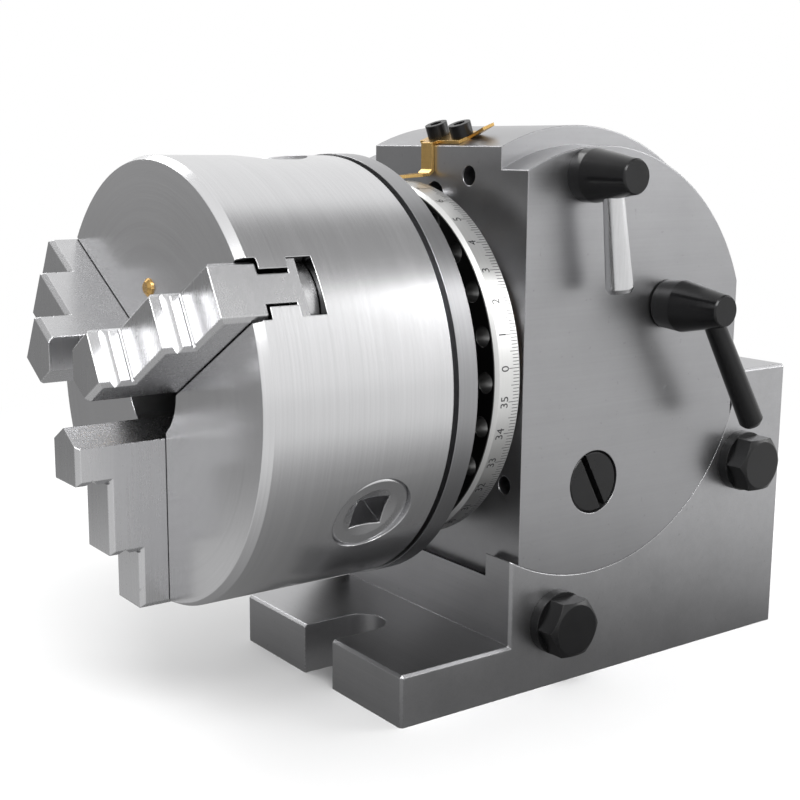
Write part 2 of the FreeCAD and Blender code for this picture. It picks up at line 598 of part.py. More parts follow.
def worm_thread():
    """Single-start right-hand thread, a rack tooth swept along a helix about Y."""
    half_pitch = WORM_LEAD / 4 - GEAR_BACKLASH / 4
    slope = tan(radians(GEAR_PRESSURE))
    turns = WORM_THREAD_LENGTH / WORM_LEAD - 1
    sink = 0.4
    root = WORM_ROOT_RADIUS - sink
    tip_half = half_pitch - GEAR_MODULE * slope
    root_half = half_pitch + (WORM_PITCH_RADIUS - root) * slope
    section = [Vector(WORM_TIP_RADIUS, 0, tip_half), Vector(WORM_TIP_RADIUS, 0, -tip_half),
               Vector(root, 0, -root_half), Vector(root, 0, root_half)]
    helix = Part.makeHelix(WORM_LEAD, turns * WORM_LEAD, WORM_PITCH_RADIUS)
    profile = Part.makePolygon(section + section[:1])
    thread = Part.Wire(helix.Edges).makePipeShell([profile], True, True)
    # Stand the thread along Y and centre it, so that at y = 0 its crest meets the wheel's gap on top.
    thread.rotate(Vector(0, 0, 0), X, -90)
    start_turns = turns / 2
    thread.rotate(Vector(0, 0, 0), Y, -90 - 360 * start_turns)
    thread.translate(Vector(0, -start_turns * WORM_LEAD, WORM_Z))
    return thread


def worm():
    """Worm with its thread, both journals and the end that carries the crank."""
    half = WORM_THREAD_LENGTH / 2
    crank_end = CRANK_OUTER - CRANK_NUT_HEIGHT - 1.5
    sleeve_wall = -SLEEVE_WALL_END + FREE
    core = turned([(crank_end, 0), (crank_end, CRANK_SHAFT_RADIUS - 1), (crank_end + 1, CRANK_SHAFT_RADIUS),
                   (CRANK_INNER, CRANK_SHAFT_RADIUS),
                   (CRANK_INNER, WORM_JOURNAL_RADIUS), (sleeve_wall, WORM_JOURNAL_RADIUS),
                   (sleeve_wall, WORM_ROOT_RADIUS), (half, WORM_ROOT_RADIUS), (half, WORM_END_RADIUS),
                   (half + WORM_END_LENGTH, WORM_END_RADIUS), (half + WORM_END_LENGTH, 0)],
                  Vector(0, 0, WORM_Z), Y)
    return core.fuse(worm_thread())


def worm_sleeve():
    """Eccentric sleeve that carries the worm, with the seats of index plate and sector arms."""
    sleeve_z = WORM_Z - SLEEVE_ECCENTRICITY
    sleeve = crosswise(SLEEVE_RADIUS, 0, sleeve_z, -HALF_WIDTH, SLEEVE_INNER_END)
    flange = crosswise(SLEEVE_FLANGE_RADIUS, 0, WORM_Z, FLANGE_FACE, -HALF_WIDTH)
    seat = crosswise(PLATE_SEAT_RADIUS - RUN, 0, WORM_Z, PLATE_FACE, FLANGE_FACE)
    spigot = crosswise(SECTOR_SPIGOT_RADIUS, 0, WORM_Z, SECTOR_FACE - SECTOR_GAP, PLATE_FACE)
    sleeve = fused([sleeve, flange, seat, spigot])
    sleeve = sleeve.cut(crosswise(WORM_BORE_RADIUS, 0, WORM_Z, -SLEEVE_WALL_END, SLEEVE_INNER_END + OVERCUT))
    sleeve = sleeve.cut(crosswise(WORM_JOURNAL_RADIUS + RUN, 0, WORM_Z, SECTOR_FACE - OVERCUT, 0))
    window = WHEEL_HALF + 2 * FREE
    wheel_room = cylinder(WHEEL_PITCH_RADIUS + GEAR_MODULE + 2 * FREE, on_spindle(-window), on_spindle(window))
    sleeve = sleeve.cut(wheel_room)
    for x, z in plate_screw_spots():
        sleeve = sleeve.cut(crosswise(PLATE_SCREW_RADIUS, x, z, FLANGE_FACE,
                                      FLANGE_FACE + PLATE_SCREW_LENGTH - INDEX_PLATE_THICKNESS))
    return sleeve


def plate_screw_spots():
    """(x, z) of the screws that hold the index plate on the sleeve."""
    return [(PLATE_SCREW_CIRCLE * cos(radians(a)), WORM_Z + PLATE_SCREW_CIRCLE * sin(radians(a)))
            for a in evenly(3, 30)]


def worm_plug():
    """Slotted plug that closes the bore and takes the end thrust of the worm."""
    inner = WORM_THREAD_LENGTH / 2 + WORM_END_LENGTH + FREE
    outer = HALF_WIDTH - FREE
    plug = turned([(SLEEVE_INNER_END + 2 * FREE, 0), (SLEEVE_INNER_END + 2 * FREE, PLUG_RADIUS),
                   (outer - EDGE, PLUG_RADIUS), (outer, PLUG_RADIUS - EDGE), (outer, 0)],
                  Vector(0, 0, WORM_Z), Y)
    button = crosswise(WORM_END_RADIUS - 1, 0, WORM_Z, inner, SLEEVE_INNER_END + 2 * FREE)
    width, depth = PLUG_SLOT
    slot = box((-PLUG_RADIUS - 1, PLUG_RADIUS + 1), (outer - depth, outer + 1), (-width / 2, width / 2))
    slot.rotate(Vector(0, 0, 0), Y, PLUG_SLOT_ANGLE - 180)
    slot.translate(Vector(0, 0, WORM_Z))
    return plug.fuse(button).cut(slot)


def index_plate():
    """Plate with a circle of index holes, seated on the sleeve."""
    plate = turned([(PLATE_FACE, PLATE_SEAT_RADIUS), (PLATE_FACE, INDEX_PLATE_RADIUS - EDGE),
                    (PLATE_FACE + EDGE, INDEX_PLATE_RADIUS), (FLANGE_FACE, INDEX_PLATE_RADIUS),
                    (FLANGE_FACE, PLATE_SEAT_RADIUS)], Vector(0, 0, WORM_Z), Y)
    for angle in evenly(PLATE_HOLES, CRANK_ANGLE):
        x = PLATE_CIRCLE * cos(radians(angle))
        z = WORM_Z + PLATE_CIRCLE * sin(radians(angle))
        plate = plate.cut(crosswise(PLATE_HOLE_RADIUS, x, z, PLATE_FACE - OVERCUT, FLANGE_FACE + OVERCUT))
    for x, z in plate_screw_spots():
        plate = plate.cut(crosswise(PLATE_SCREW_RADIUS + 0.2, x, z, PLATE_FACE - OVERCUT, FLANGE_FACE + OVERCUT))
        plate = plate.cut(crosswise(PLATE_SCREW_RADIUS * 1.75, x, z, PLATE_FACE - OVERCUT, PLATE_FACE + 3))
    return plate


def index_plate_screws():
    """Three flush screws of the index plate."""
    screws = []
    for x, z in plate_screw_spots():
        head = across(x, z, PLATE_FACE + SLIDE)
        screws.append(cap_screw(head, Y, PLATE_SCREW_RADIUS - RUN, PLATE_SCREW_LENGTH - 4,
                                PLATE_SCREW_RADIUS * 1.7, 3 - SLIDE, False))
    return Part.makeCompound(screws)


def sector_arms():
    """Two bevelled arms that stay flat on the plate; the upper ring's blade is stepped down to it."""
    arms = {}
    lower = PLATE_FACE - SECTOR_GAP
    first = lower - SECTOR_THICKNESS
    second = first - SECTOR_GAP - SECTOR_THICKNESS
    spigot = SECTOR_SPIGOT_RADIUS + RUN
    step = SECTOR_RING_RADIUS + 2 * FREE
    for name, angle, ring_start in (("sector_arm_lower", SECTOR_ANGLES[0], lower),
                                    ("sector_arm_upper", SECTOR_ANGLES[1], first - SECTOR_GAP)):
        ring = crosswise(SECTOR_RING_RADIUS, 0, WORM_Z, ring_start, ring_start - SECTOR_THICKNESS)
        half = SECTOR_BLADE_WIDTH / 2
        blade_start = 0 if ring_start == lower else step
        blade = [Vector(blade_start, lower, -half), Vector(SECTOR_BLADE_END, lower, -half * 0.5),
                 Vector(SECTOR_BLADE_END, lower, half), Vector(blade_start, lower, half)]
        blade = outline(blade).extrude(Y * -SECTOR_THICKNESS)
        pieces = [ring]
        if blade_start:
            bridge = box((0, step + 4), (second, first - SECTOR_GAP), (-half, half))
            riser = box((step, step + 4), (second, lower), (-half, half))
            pieces += [turn_at_worm(bridge, angle), turn_at_worm(riser, angle)]
        pieces.append(turn_at_worm(blade, angle))
        arms[name] = fused(pieces).cut(crosswise(spigot, 0, WORM_Z, lower + 1, second - 1))
    return arms


def turn_at_worm(shape, angle):
    """A shape drawn along +X about the origin, turned towards +Z and moved to the worm axis."""
    turned_shape = shape.rotated(Vector(0, 0, 0), Y, -angle)
    return turned_shape.translated(Vector(0, 0, WORM_Z))


def crank_arm():
    """Arm with a hub on the worm shaft and a slot for the plunger."""
    slot_in, slot_out = CRANK_SLOT
    hub = crosswise(CRANK_HUB_RADIUS, 0, WORM_Z, CRANK_OUTER, CRANK_INNER)
    end = cylinder(CRANK_END_RADIUS, Vector(slot_out, CRANK_OUTER, 0), Vector(slot_out, CRANK_INNER, 0))
    web = outline([Vector(0, CRANK_OUTER, -CRANK_HUB_RADIUS + 1), Vector(slot_out, CRANK_OUTER, -CRANK_END_RADIUS),
                   Vector(slot_out, CRANK_OUTER, CRANK_END_RADIUS), Vector(0, CRANK_OUTER, CRANK_HUB_RADIUS - 1)])
    web = web.extrude(Y * CRANK_THICKNESS)
    arm = fused([hub, turn_at_worm(end, CRANK_ANGLE), turn_at_worm(web, CRANK_ANGLE)])
    half = PLUNGER_SLEEVE_RADIUS + SLIDE
    y_past, y_near = CRANK_OUTER - OVERCUT, CRANK_INNER + OVERCUT
    slot = fused([box((slot_in, slot_out), (y_past, y_near), (-half, half)),
                  cylinder(half, Vector(slot_in, y_past, 0), Vector(slot_in, y_near, 0)),
                  cylinder(half, Vector(slot_out, y_past, 0), Vector(slot_out, y_near, 0))])
    arm = arm.cut(turn_at_worm(slot, CRANK_ANGLE))
    return arm.cut(crosswise(CRANK_SHAFT_RADIUS, 0, WORM_Z, CRANK_OUTER - OVERCUT, CRANK_INNER + OVERCUT))


def crank_nut():
    """Nut that holds the crank on the worm shaft."""
    nut = hexagon(CRANK_NUT_FLATS, across(0, WORM_Z, CRANK_OUTER),
                  across(0, WORM_Z, CRANK_OUTER - CRANK_NUT_HEIGHT))
    return nut.cut(crosswise(CRANK_SHAFT_RADIUS, 0, WORM_Z, CRANK_OUTER + 1, CRANK_OUTER - CRANK_NUT_HEIGHT - 1))


def crank_point(y):
    """A point on the axis of the index plunger."""
    return across(PLATE_CIRCLE * cos(radians(CRANK_ANGLE)), WORM_Z + PLATE_CIRCLE * sin(radians(CRANK_ANGLE)), y)


def plunger():
    """Sprung index pin of the crank: barrel, nut behind the arm, pin and knob, drawn out of the plate."""
    axis_origin = crank_point(0)
    nut_face = CRANK_INNER + PLUNGER_COLLAR_THICKNESS * 0.5
    collar = CRANK_OUTER - PLUNGER_COLLAR_THICKNESS
    barrel_end = collar - PLUNGER_BARREL_LENGTH
    bore = PLUNGER_PIN_RADIUS + RUN
    barrel = turned([(nut_face, bore), (nut_face, PLUNGER_SLEEVE_RADIUS), (CRANK_OUTER, PLUNGER_SLEEVE_RADIUS),
                     (CRANK_OUTER, PLUNGER_COLLAR_RADIUS), (collar, PLUNGER_COLLAR_RADIUS),
                     (collar, PLUNGER_BARREL_RADIUS), (barrel_end + EDGE, PLUNGER_BARREL_RADIUS),
                     (barrel_end, PLUNGER_BARREL_RADIUS - EDGE), (barrel_end, bore)], axis_origin, Y)
    nut = turned([(CRANK_INNER, PLUNGER_SLEEVE_RADIUS), (CRANK_INNER, PLUNGER_COLLAR_RADIUS),
                  (nut_face, PLUNGER_COLLAR_RADIUS), (nut_face, PLUNGER_SLEEVE_RADIUS)], axis_origin, Y)
    tip = PLATE_FACE - 2 * SECTOR_GAP - SECTOR_THICKNESS - FREE
    shoulder = tip - PLUNGER_TIP_LENGTH
    knob_start = barrel_end - PLUNGER_TRAVEL - FREE
    knob_end = knob_start - KNOB_LENGTH
    pin = turned([(tip, 0), (tip, PLUNGER_TIP_RADIUS - 0.4), (tip - 0.8, PLUNGER_TIP_RADIUS),
                  (shoulder, PLUNGER_TIP_RADIUS), (shoulder, PLUNGER_PIN_RADIUS),
                  (knob_end + 3, PLUNGER_PIN_RADIUS), (knob_end + 3, 0)], axis_origin, Y)
    knob = turned([(knob_start, PLUNGER_PIN_RADIUS), (knob_start, KNOB_RADIUS - 2.5),
                   (knob_start - 2, KNOB_RADIUS - 2.5), (knob_start - 4, KNOB_RADIUS),
                   (knob_end + 2, KNOB_RADIUS), (knob_end, KNOB_RADIUS - 2), (knob_end, 0),
                   (knob_end + 3, 0), (knob_end + 3, PLUNGER_PIN_RADIUS)], axis_origin, Y)
    return {"plunger_barrel": barrel, "plunger_nut": nut, "plunger_pin": pin, "plunger_knob": knob}


# ---- Spindle ---------------------------------------------------------------------------------

def spindle():
    """Hollow spindle: nose, dial flange, two journals, wheel seat, thread and taper socket."""
    rear_end = -HEAD_REAR + 0.5
    taper_start = NOSE_END - TAPER_LENGTH
    taper_end_radius = TAPER_MOUTH_RADIUS - TAPER_LENGTH * TAPER_RATE / 2
    nut_front = REAR_BUSH_REAR - FREE
    body = turned([
        (rear_end, BORE_RADIUS), (rear_end, THREAD_RADIUS), (nut_front, THREAD_RADIUS),
        (nut_front, REAR_JOURNAL_RADIUS), (-WHEEL_HALF, REAR_JOURNAL_RADIUS), (-WHEEL_HALF, WHEEL_SEAT_RADIUS),
        (WHEEL_HALF, WHEEL_SEAT_RADIUS), (WHEEL_HALF, FRONT_JOURNAL_RADIUS), (SHOULDER_X, FRONT_JOURNAL_RADIUS),
        (SHOULDER_X, SPINDLE_FLANGE_RADIUS), (DIAL_REAR, SPINDLE_FLANGE_RADIUS), (DIAL_REAR, DIAL_SEAT_RADIUS),
        (DIAL_FRONT, DIAL_SEAT_RADIUS), (DIAL_FRONT, NOSE_RADIUS), (NOSE_END, NOSE_RADIUS),
        (NOSE_END, TAPER_MOUTH_RADIUS), (taper_start, taper_end_radius), (taper_start, BORE_RADIUS)])
    body = body.cut(key_block(SLIDE))
    for angle in evenly(3, 90):
        head = on_spindle(DIAL_FRONT, DIAL_SCREW_CIRCLE, angle)
        body = body.cut(cylinder(DIAL_SCREW_RADIUS, head, head - X * DIAL_SCREW_LENGTH))
    return body


def spindle_nut():
    """Round slotted lock nut at the rear of the spindle."""
    front = REAR_BUSH_REAR - FREE
    nut = turned([(front, THREAD_RADIUS), (front, NUT_RADIUS), (front - NUT_THICKNESS, NUT_RADIUS),
                  (front - NUT_THICKNESS, THREAD_RADIUS)])
    for angle in evenly(4):
        notch = box((front - NUT_THICKNESS - 1, front + 1), (NUT_RADIUS - 2.5, NUT_RADIUS + 1), (-2, 2))
        notch.translate(Vector(0, 0, CENTRE_HEIGHT))
        nut = nut.cut(around_spindle(notch, angle))
    return nut


def thrust_washer():
    """Washer between the worm wheel and the wall of its chamber."""
    front = -WHEEL_HALF - SLIDE
    return turned([(front, REAR_JOURNAL_RADIUS + RUN), (front, THRUST_RADIUS),
                   (front - THRUST_THICKNESS, THRUST_RADIUS), (front - THRUST_THICKNESS, REAR_JOURNAL_RADIUS + RUN)])


def dial():
    """Graduated ring with the circle of direct index holes."""
    ring = turned([(DIAL_REAR, DIAL_SEAT_RADIUS), (DIAL_REAR, DIAL_RADIUS), (DIAL_FRONT - DIAL_BEVEL, DIAL_RADIUS),
                   (DIAL_FRONT, DIAL_RADIUS - DIAL_BEVEL), (DIAL_FRONT, DIAL_SEAT_RADIUS)])
    for angle in evenly(INDEX_HOLES, 90):
        ring = ring.cut(cylinder(INDEX_HOLE_RADIUS, on_spindle(DIAL_REAR - 1, INDEX_CIRCLE, angle),
                                 on_spindle(DIAL_FRONT + 1, INDEX_CIRCLE, angle)))
    for angle in evenly(3, 90):
        head = on_spindle(DIAL_FRONT, DIAL_SCREW_CIRCLE, angle)
        ring = ring.cut(cylinder(DIAL_SCREW_RADIUS + 0.2, head, head - X * DIAL_WIDTH))
        ring = ring.cut(cylinder(DIAL_SCREW_RADIUS * 1.75, head, head - X * DIAL_SCREW_RADIUS * 2))
    return ring


def dial_screws():
    """Three socket screws that hold the dial on the spindle flange."""
    screws = []
    for angle in evenly(3, 90):
        head = on_spindle(DIAL_FRONT - SLIDE, DIAL_SCREW_CIRCLE, angle)
        height = DIAL_SCREW_RADIUS * 2 - SLIDE
        screws.append(cap_screw(head, X * -1, DIAL_SCREW_RADIUS - RUN, DIAL_SCREW_LENGTH - height - 1,
                                DIAL_SCREW_RADIUS * 1.7, height, False))
    return Part.makeCompound(screws)


# ---- Chuck -----------------------------------------------------------------------------------

def chuck_back_plate():
    """Flange between spindle nose and chuck, with the register and the groove behind the chuck."""
    plate = turned([
        (DIAL_FRONT, NOSE_RADIUS), (DIAL_FRONT, BACK_PLATE_HUB_RADIUS), (BACK_PLATE_REAR, BACK_PLATE_HUB_RADIUS),
        (BACK_PLATE_REAR, BACK_PLATE_RADIUS - EDGE), (BACK_PLATE_REAR + EDGE, BACK_PLATE_RADIUS),
        (BACK_PLATE_FRONT, BACK_PLATE_RADIUS), (BACK_PLATE_FRONT, CHUCK_RADIUS - GROOVE_DEPTH),
        (CHUCK_REAR, CHUCK_RADIUS - GROOVE_DEPTH), (CHUCK_REAR, REGISTER_RADIUS - SLIDE),
        (CHUCK_REAR + REGISTER_LENGTH - SLIDE, REGISTER_RADIUS - SLIDE),
        (CHUCK_REAR + REGISTER_LENGTH - SLIDE, NOSE_RADIUS)])
    for angle in JAW_ANGLES:
        head = on_spindle(BACK_PLATE_REAR, CHUCK_SCREW_CIRCLE, angle)
        plate = plate.cut(cylinder(CHUCK_SCREW_RADIUS + 0.2, head, on_spindle(CHUCK_REAR, CHUCK_SCREW_CIRCLE, angle)))
        plate = plate.cut(cylinder(CHUCK_SCREW_RADIUS * 1.8, head, head + X * CHUCK_SCREW_SINK))
    return plate


def chuck_screws():
    """Three socket screws through the back plate into the chuck."""
    screws = []
    height = CHUCK_SCREW_RADIUS * 2
    for angle in JAW_ANGLES:
        head = on_spindle(BACK_PLATE_REAR + CHUCK_SCREW_SINK - height, CHUCK_SCREW_CIRCLE, angle)
        screws.append(cap_screw(head, X, CHUCK_SCREW_RADIUS - RUN, CHUCK_SCREW_LENGTH,
                                CHUCK_SCREW_RADIUS * 1.7, height, False))
    return Part.makeCompound(screws)


def jaw_section(radial_range, top, foot=0.0, neck=0.0, back=0.0, side=0.0):
    """H-section of a jaw along +Y from the spindle axis, or of its slot, given the gaps round the jaw."""
    foot_back = SLOT_FLOOR if foot else JAW_FOOT_BACK
    foot_half = JAW_WIDTH / 2 + foot
    neck_half = JAW_NECK / 2 + neck
    body_half = JAW_WIDTH / 2 + side
    half = [(foot_back, foot_half), (JAW_FOOT_FRONT + foot, foot_half), (JAW_FOOT_FRONT + foot, neck_half),
            (JAW_BODY_BACK - back, neck_half), (JAW_BODY_BACK - back, body_half), (top, body_half)]
    section = half + [(x, -y) for x, y in reversed(half)]
    near, far = radial_range
    face = outline([Vector(x, near, CENTRE_HEIGHT + y) for x, y in section])
    return face.extrude(Y * (far - near))


def chuck_body():
    """Body with three H-section jaw slots, the scroll cavity, the hub and three pinion bores."""
    bevel_x, bevel_r = CHUCK_BEVEL
    cavity_front = SCROLL_FACE + RIDGE_HEIGHT + FREE
    body = turned([
        (CHUCK_REAR, REGISTER_RADIUS), (CHUCK_REAR, CHUCK_RADIUS), (CHUCK_FACE - bevel_x, CHUCK_RADIUS),
        (CHUCK_FACE, CHUCK_RADIUS - bevel_r), (CHUCK_FACE, CHUCK_BORE_RADIUS), (COVER_FRONT, CHUCK_BORE_RADIUS),
        (COVER_FRONT, CHUCK_HUB_RADIUS), (cavity_front, CHUCK_HUB_RADIUS), (cavity_front, CAVITY_RADIUS),
        (COVER_FRONT, CAVITY_RADIUS), (COVER_FRONT, REGISTER_RADIUS)])
    slot = jaw_section((0, CHUCK_RADIUS + OVERCUT), CHUCK_FACE + OVERCUT,
                       SLIDE, SLOT_NECK_GAP, SLOT_BACK_GAP, SLOT_SIDE_GAP)
    for angle in JAW_ANGLES:
        body = body.cut(around_spindle(slot, angle))
        screw = on_spindle(CHUCK_REAR, CHUCK_SCREW_CIRCLE, angle)
        body = body.cut(cylinder(CHUCK_SCREW_RADIUS, screw, screw + X * (CHUCK_SCREW_LENGTH - 2)))
        body = body.cut(pinion_seat(angle + 180))
    nipple = on_spindle(CHUCK_FACE, NIPPLE_CIRCLE, 90)
    return body.cut(cylinder(NIPPLE_RADIUS, nipple, nipple - X * NIPPLE_LENGTH))


def pinion_seat(angle):
    """Radial bore of one pinion, with a countersunk mouth and the hole of its retaining pin."""
    near = on_spindle(PINION_X, CAVITY_RADIUS - OVERCUT, angle)
    far = on_spindle(PINION_X, CHUCK_RADIUS + OVERCUT, angle)
    bore = cylinder(PINION_RADIUS + RUN, near, far)
    pin_start, pin_end = pinion_pin_ends(angle)
    return bore.fuse(cylinder(PINION_PIN_RADIUS, pin_start, pin_end))


def pinion_pin_ends(angle):
    """Ends of the pin that runs along the chuck beside a pinion and keeps it in."""
    groove_middle = (PINION_GROOVE[0] + PINION_GROOVE[1]) / 2
    side = degrees(atan2(PINION_RADIUS + PINION_PIN_RADIUS - PINION_GROOVE_DEPTH, groove_middle))
    reach = groove_middle / cos(radians(side))
    return (on_spindle(COVER_FRONT, reach, angle + side), on_spindle(PINION_X + PINION_RADIUS, reach, angle + side))


def chuck_cover():
    """Plate that closes the back of the chuck and carries the scroll."""
    return turned([(COVER_FRONT - CHUCK_COVER_THICKNESS, CHUCK_BORE_RADIUS),
                   (COVER_FRONT - CHUCK_COVER_THICKNESS, REGISTER_RADIUS - SLIDE),
                   (COVER_FRONT, REGISTER_RADIUS - SLIDE), (COVER_FRONT, CHUCK_BORE_RADIUS)])


def oil_nipple():
    """Ball oiler pressed into the chuck face."""
    start = NIPPLE_RISE - NIPPLE_LENGTH
    origin = on_spindle(CHUCK_FACE, NIPPLE_CIRCLE, 90)
    return turned([(start, 0), (start, NIPPLE_RADIUS), (NIPPLE_RISE * 0.3, NIPPLE_RADIUS),
                   (NIPPLE_RISE, NIPPLE_RADIUS * 0.6), (NIPPLE_RISE, 0)], origin)


def spiral_radius(angle):
    """Radius of the middle of the scroll ridge at an angle in turns."""
    return SCROLL_INNER + SCROLL_PITCH * angle


def spiral_wall(offset, last_turn):
    """One wall of the ridge: an Archimedean spiral as a run of three-point arcs."""
    count = 2 * int(last_turn * 8 + 1)
    points = [on_spindle(SCROLL_FACE - SINK, spiral_radius(last_turn * i / count) + offset,
                         360 * last_turn * i / count) for i in range(count + 1)]
    arcs = [Part.Arc(*points[i:i + 3]).toShape() for i in range(0, count, 2)]
    return arcs, points[0], points[-1]


def scroll_plate():
    """Plate with a spiral ridge in front, a crown of bevel teeth behind and a hub."""
    hub_radius = CHUCK_HUB_RADIUS + RUN
    crown_root = PINION_X + (PINION_PITCH_RADIUS + PINION_DEDENDUM) * BEVEL_OUTER / MESH_RADIUS
    body = turned([(COVER_FRONT + SLIDE, hub_radius), (COVER_FRONT + SLIDE, BEVEL_INNER - 5),
                   (crown_root, BEVEL_INNER - 5), (crown_root, SCROLL_OUTER), (SCROLL_FACE, SCROLL_OUTER),
                   (SCROLL_FACE, hub_radius)])
    last = (SCROLL_OUTER - RIDGE_WIDTH / 2 - SCROLL_INNER) / SCROLL_PITCH
    half = RIDGE_WIDTH / 2
    inner, inner_start, inner_end = spiral_wall(-half, last)
    outer, outer_start, outer_end = spiral_wall(half, last)
    caps = [Part.makeLine(inner_start, outer_start), Part.makeLine(inner_end, outer_end)]
    rim = Part.Wire(Part.__sortEdges__(inner + outer + caps))
    ridge = Part.Face(rim).extrude(X * (RIDGE_HEIGHT + SINK))
    teeth = [around_spindle(crown_tooth(), angle) for angle in evenly(CROWN_TEETH, CROWN_PHASE)]
    return body.multiFuse([ridge] + teeth)


def crown_tooth():
    """One bevel tooth of the crown, along +Y, its sides converging on the crossing of the axes."""
    pitch = 2 * pi * MESH_RADIUS / CROWN_TEETH
    slope = tan(radians(PINION_PRESSURE))
    half = pitch / 4 - PINION_BACKLASH / 4
    root = PINION_PITCH_RADIUS + PINION_DEDENDUM + 1.2
    tip = PINION_PITCH_RADIUS - PINION_ADDENDUM
    section = [(root, half + (root - PINION_PITCH_RADIUS) * slope), (tip, half - PINION_ADDENDUM * slope)]
    section += [(x, -side) for x, side in reversed(section)]
    ends = []
    for radius in (BEVEL_INNER, BEVEL_OUTER):
        scale = radius / MESH_RADIUS
        corners = [Vector(PINION_X + x * scale, radius, CENTRE_HEIGHT + side * scale) for x, side in section]
        ends.append(Part.makePolygon(corners + corners[:1]))
    return Part.makeLoft(ends, True, True)


def pinion(angle):
    """Bevel pinion with a square key socket, drawn along +Y and turned to its angle."""
    outer = CHUCK_RADIUS - PINION_SINK
    groove_in, groove_out = PINION_GROOVE
    groove_radius = PINION_RADIUS - PINION_GROOVE_DEPTH
    shank_start = CAVITY_RADIUS + FREE
    origin = on_spindle(PINION_X)
    body = turned([(BEVEL_OUTER, 0), (BEVEL_OUTER, PINION_PITCH_RADIUS - PINION_DEDENDUM),
                   (shank_start, PINION_PITCH_RADIUS - PINION_DEDENDUM),
                   (shank_start, PINION_RADIUS), (groove_in, PINION_RADIUS), (groove_in, groove_radius),
                   (groove_out, groove_radius), (groove_out, PINION_RADIUS), (outer - EDGE, PINION_RADIUS),
                   (outer, PINION_RADIUS - EDGE), (outer, 0)], origin, Y, Z)
    ends = []
    for radius in (BEVEL_INNER, BEVEL_OUTER):
        scale = radius / MESH_RADIUS
        points = gear_points(PINION_TEETH, PINION_PITCH_RADIUS, PINION_ADDENDUM, PINION_DEDENDUM,
                             PINION_PRESSURE, PINION_BACKLASH, 0.0)
        corners = [Vector(PINION_X + side * scale, radius, CENTRE_HEIGHT + up * scale) for side, up in points]
        ends.append(Part.makePolygon(corners + corners[:1]))
    body = body.fuse(Part.makeLoft(ends, True, True))
    half = PINION_SQUARE / 2
    depth = (outer - PINION_SQUARE_DEPTH, outer + OVERCUT)
    square = box((PINION_X - half, PINION_X + half), depth, (CENTRE_HEIGHT - half, CENTRE_HEIGHT + half))
    relief = turned([(outer - PINION_RELIEF_DEPTH, 0), (outer, PINION_RELIEF_RADIUS), (outer + 1, PINION_RELIEF_RADIUS),
                     (outer + 1, 0)], origin, Y, Z)
    return around_spindle(body.cut(square).cut(relief), angle)


def pinion_pins():
    """Pins that keep the pinions in the chuck."""
    return Part.makeCompound([cylinder(PINION_PIN_RADIUS, *pinion_pin_ends(angle + 180)) for angle in JAW_ANGLES])


def jaw_teeth(angle):
    """Curved teeth under the foot of a jaw, one for each groove of the spiral at this angle."""
    height = RIDGE_HEIGHT + SINK
    grooves = []
    radius = spiral_radius(angle / 360.0) + SCROLL_PITCH / 2
    while radius - SCROLL_PITCH > JAW_TIP:
        radius -= SCROLL_PITCH
    half = JAW_WIDTH / 2
    strip = box((JAW_FOOT_BACK, JAW_FOOT_BACK + height), (JAW_TIP, JAW_END), (-half, half))
    teeth = []
    while radius + JAW_TOOTH / 2 < JAW_END:
        convex = radius + JAW_TOOTH / 2 - TOOTH_CONVEX
        concave = radius - JAW_TOOTH / 2 - TOOTH_CONCAVE
        root = Vector(JAW_FOOT_BACK, convex, 0)
        tooth = cylinder(TOOTH_CONVEX, root, root + X * height)
        root = Vector(JAW_FOOT_BACK - 1, concave, 0)
        tooth = tooth.cut(cylinder(TOOTH_CONCAVE, root, root + X * (height + 2)))
        teeth.append(tooth.common(strip))
        radius += SCROLL_PITCH
    return [tooth.translated(Vector(0, 0, CENTRE_HEIGHT)) for tooth in teeth]


def jaw_tip():
    """The two wedges that leave a blunt gripping edge at the inner end of a jaw."""
    reach = JAW_WIDTH / 2 + 1
    back = JAW_TIP + reach / tan(radians(JAW_TIP_ANGLE / 2))
    wedges = []
    for away in (reach, -reach):
        points = [(JAW_TIP, 0), (back, away), (JAW_TIP - 1, away), (JAW_TIP - 1, 0)]
        wedge = outline([Vector(0, y, CENTRE_HEIGHT + z) for y, z in points])
        wedges.append(wedge.extrude(X * 2 * JAW_STEPS[-1][1]))
    return fused(wedges)


def stepped(body):
    """Cuts the steps of a jaw and bevels the edges of the steps, risers and outer end."""
    low = CENTRE_HEIGHT - JAW_WIDTH
    for (outer, step_top), (riser, riser_top) in zip(JAW_STEPS, JAW_STEPS[1:]):
        body = body.cut(box((step_top, riser_top + 1), (riser, outer + 1), (low, low + 2 * JAW_WIDTH)))
    edges = []
    for edge in body.Edges:
        bounds = edge.BoundBox
        on_side = bounds.ZLength < 0.01 and abs(abs(bounds.ZMin - CENTRE_HEIGHT) - JAW_WIDTH / 2) < 0.01
        behind = bounds.XMax < JAW_BODY_BACK + 0.01
        inner_end = bounds.YMax < JAW_TIP + 0.01
        if on_side and not behind and not inner_end:
            edges.append(edge)
    return body.makeChamfer(JAW_BEVEL, edges)


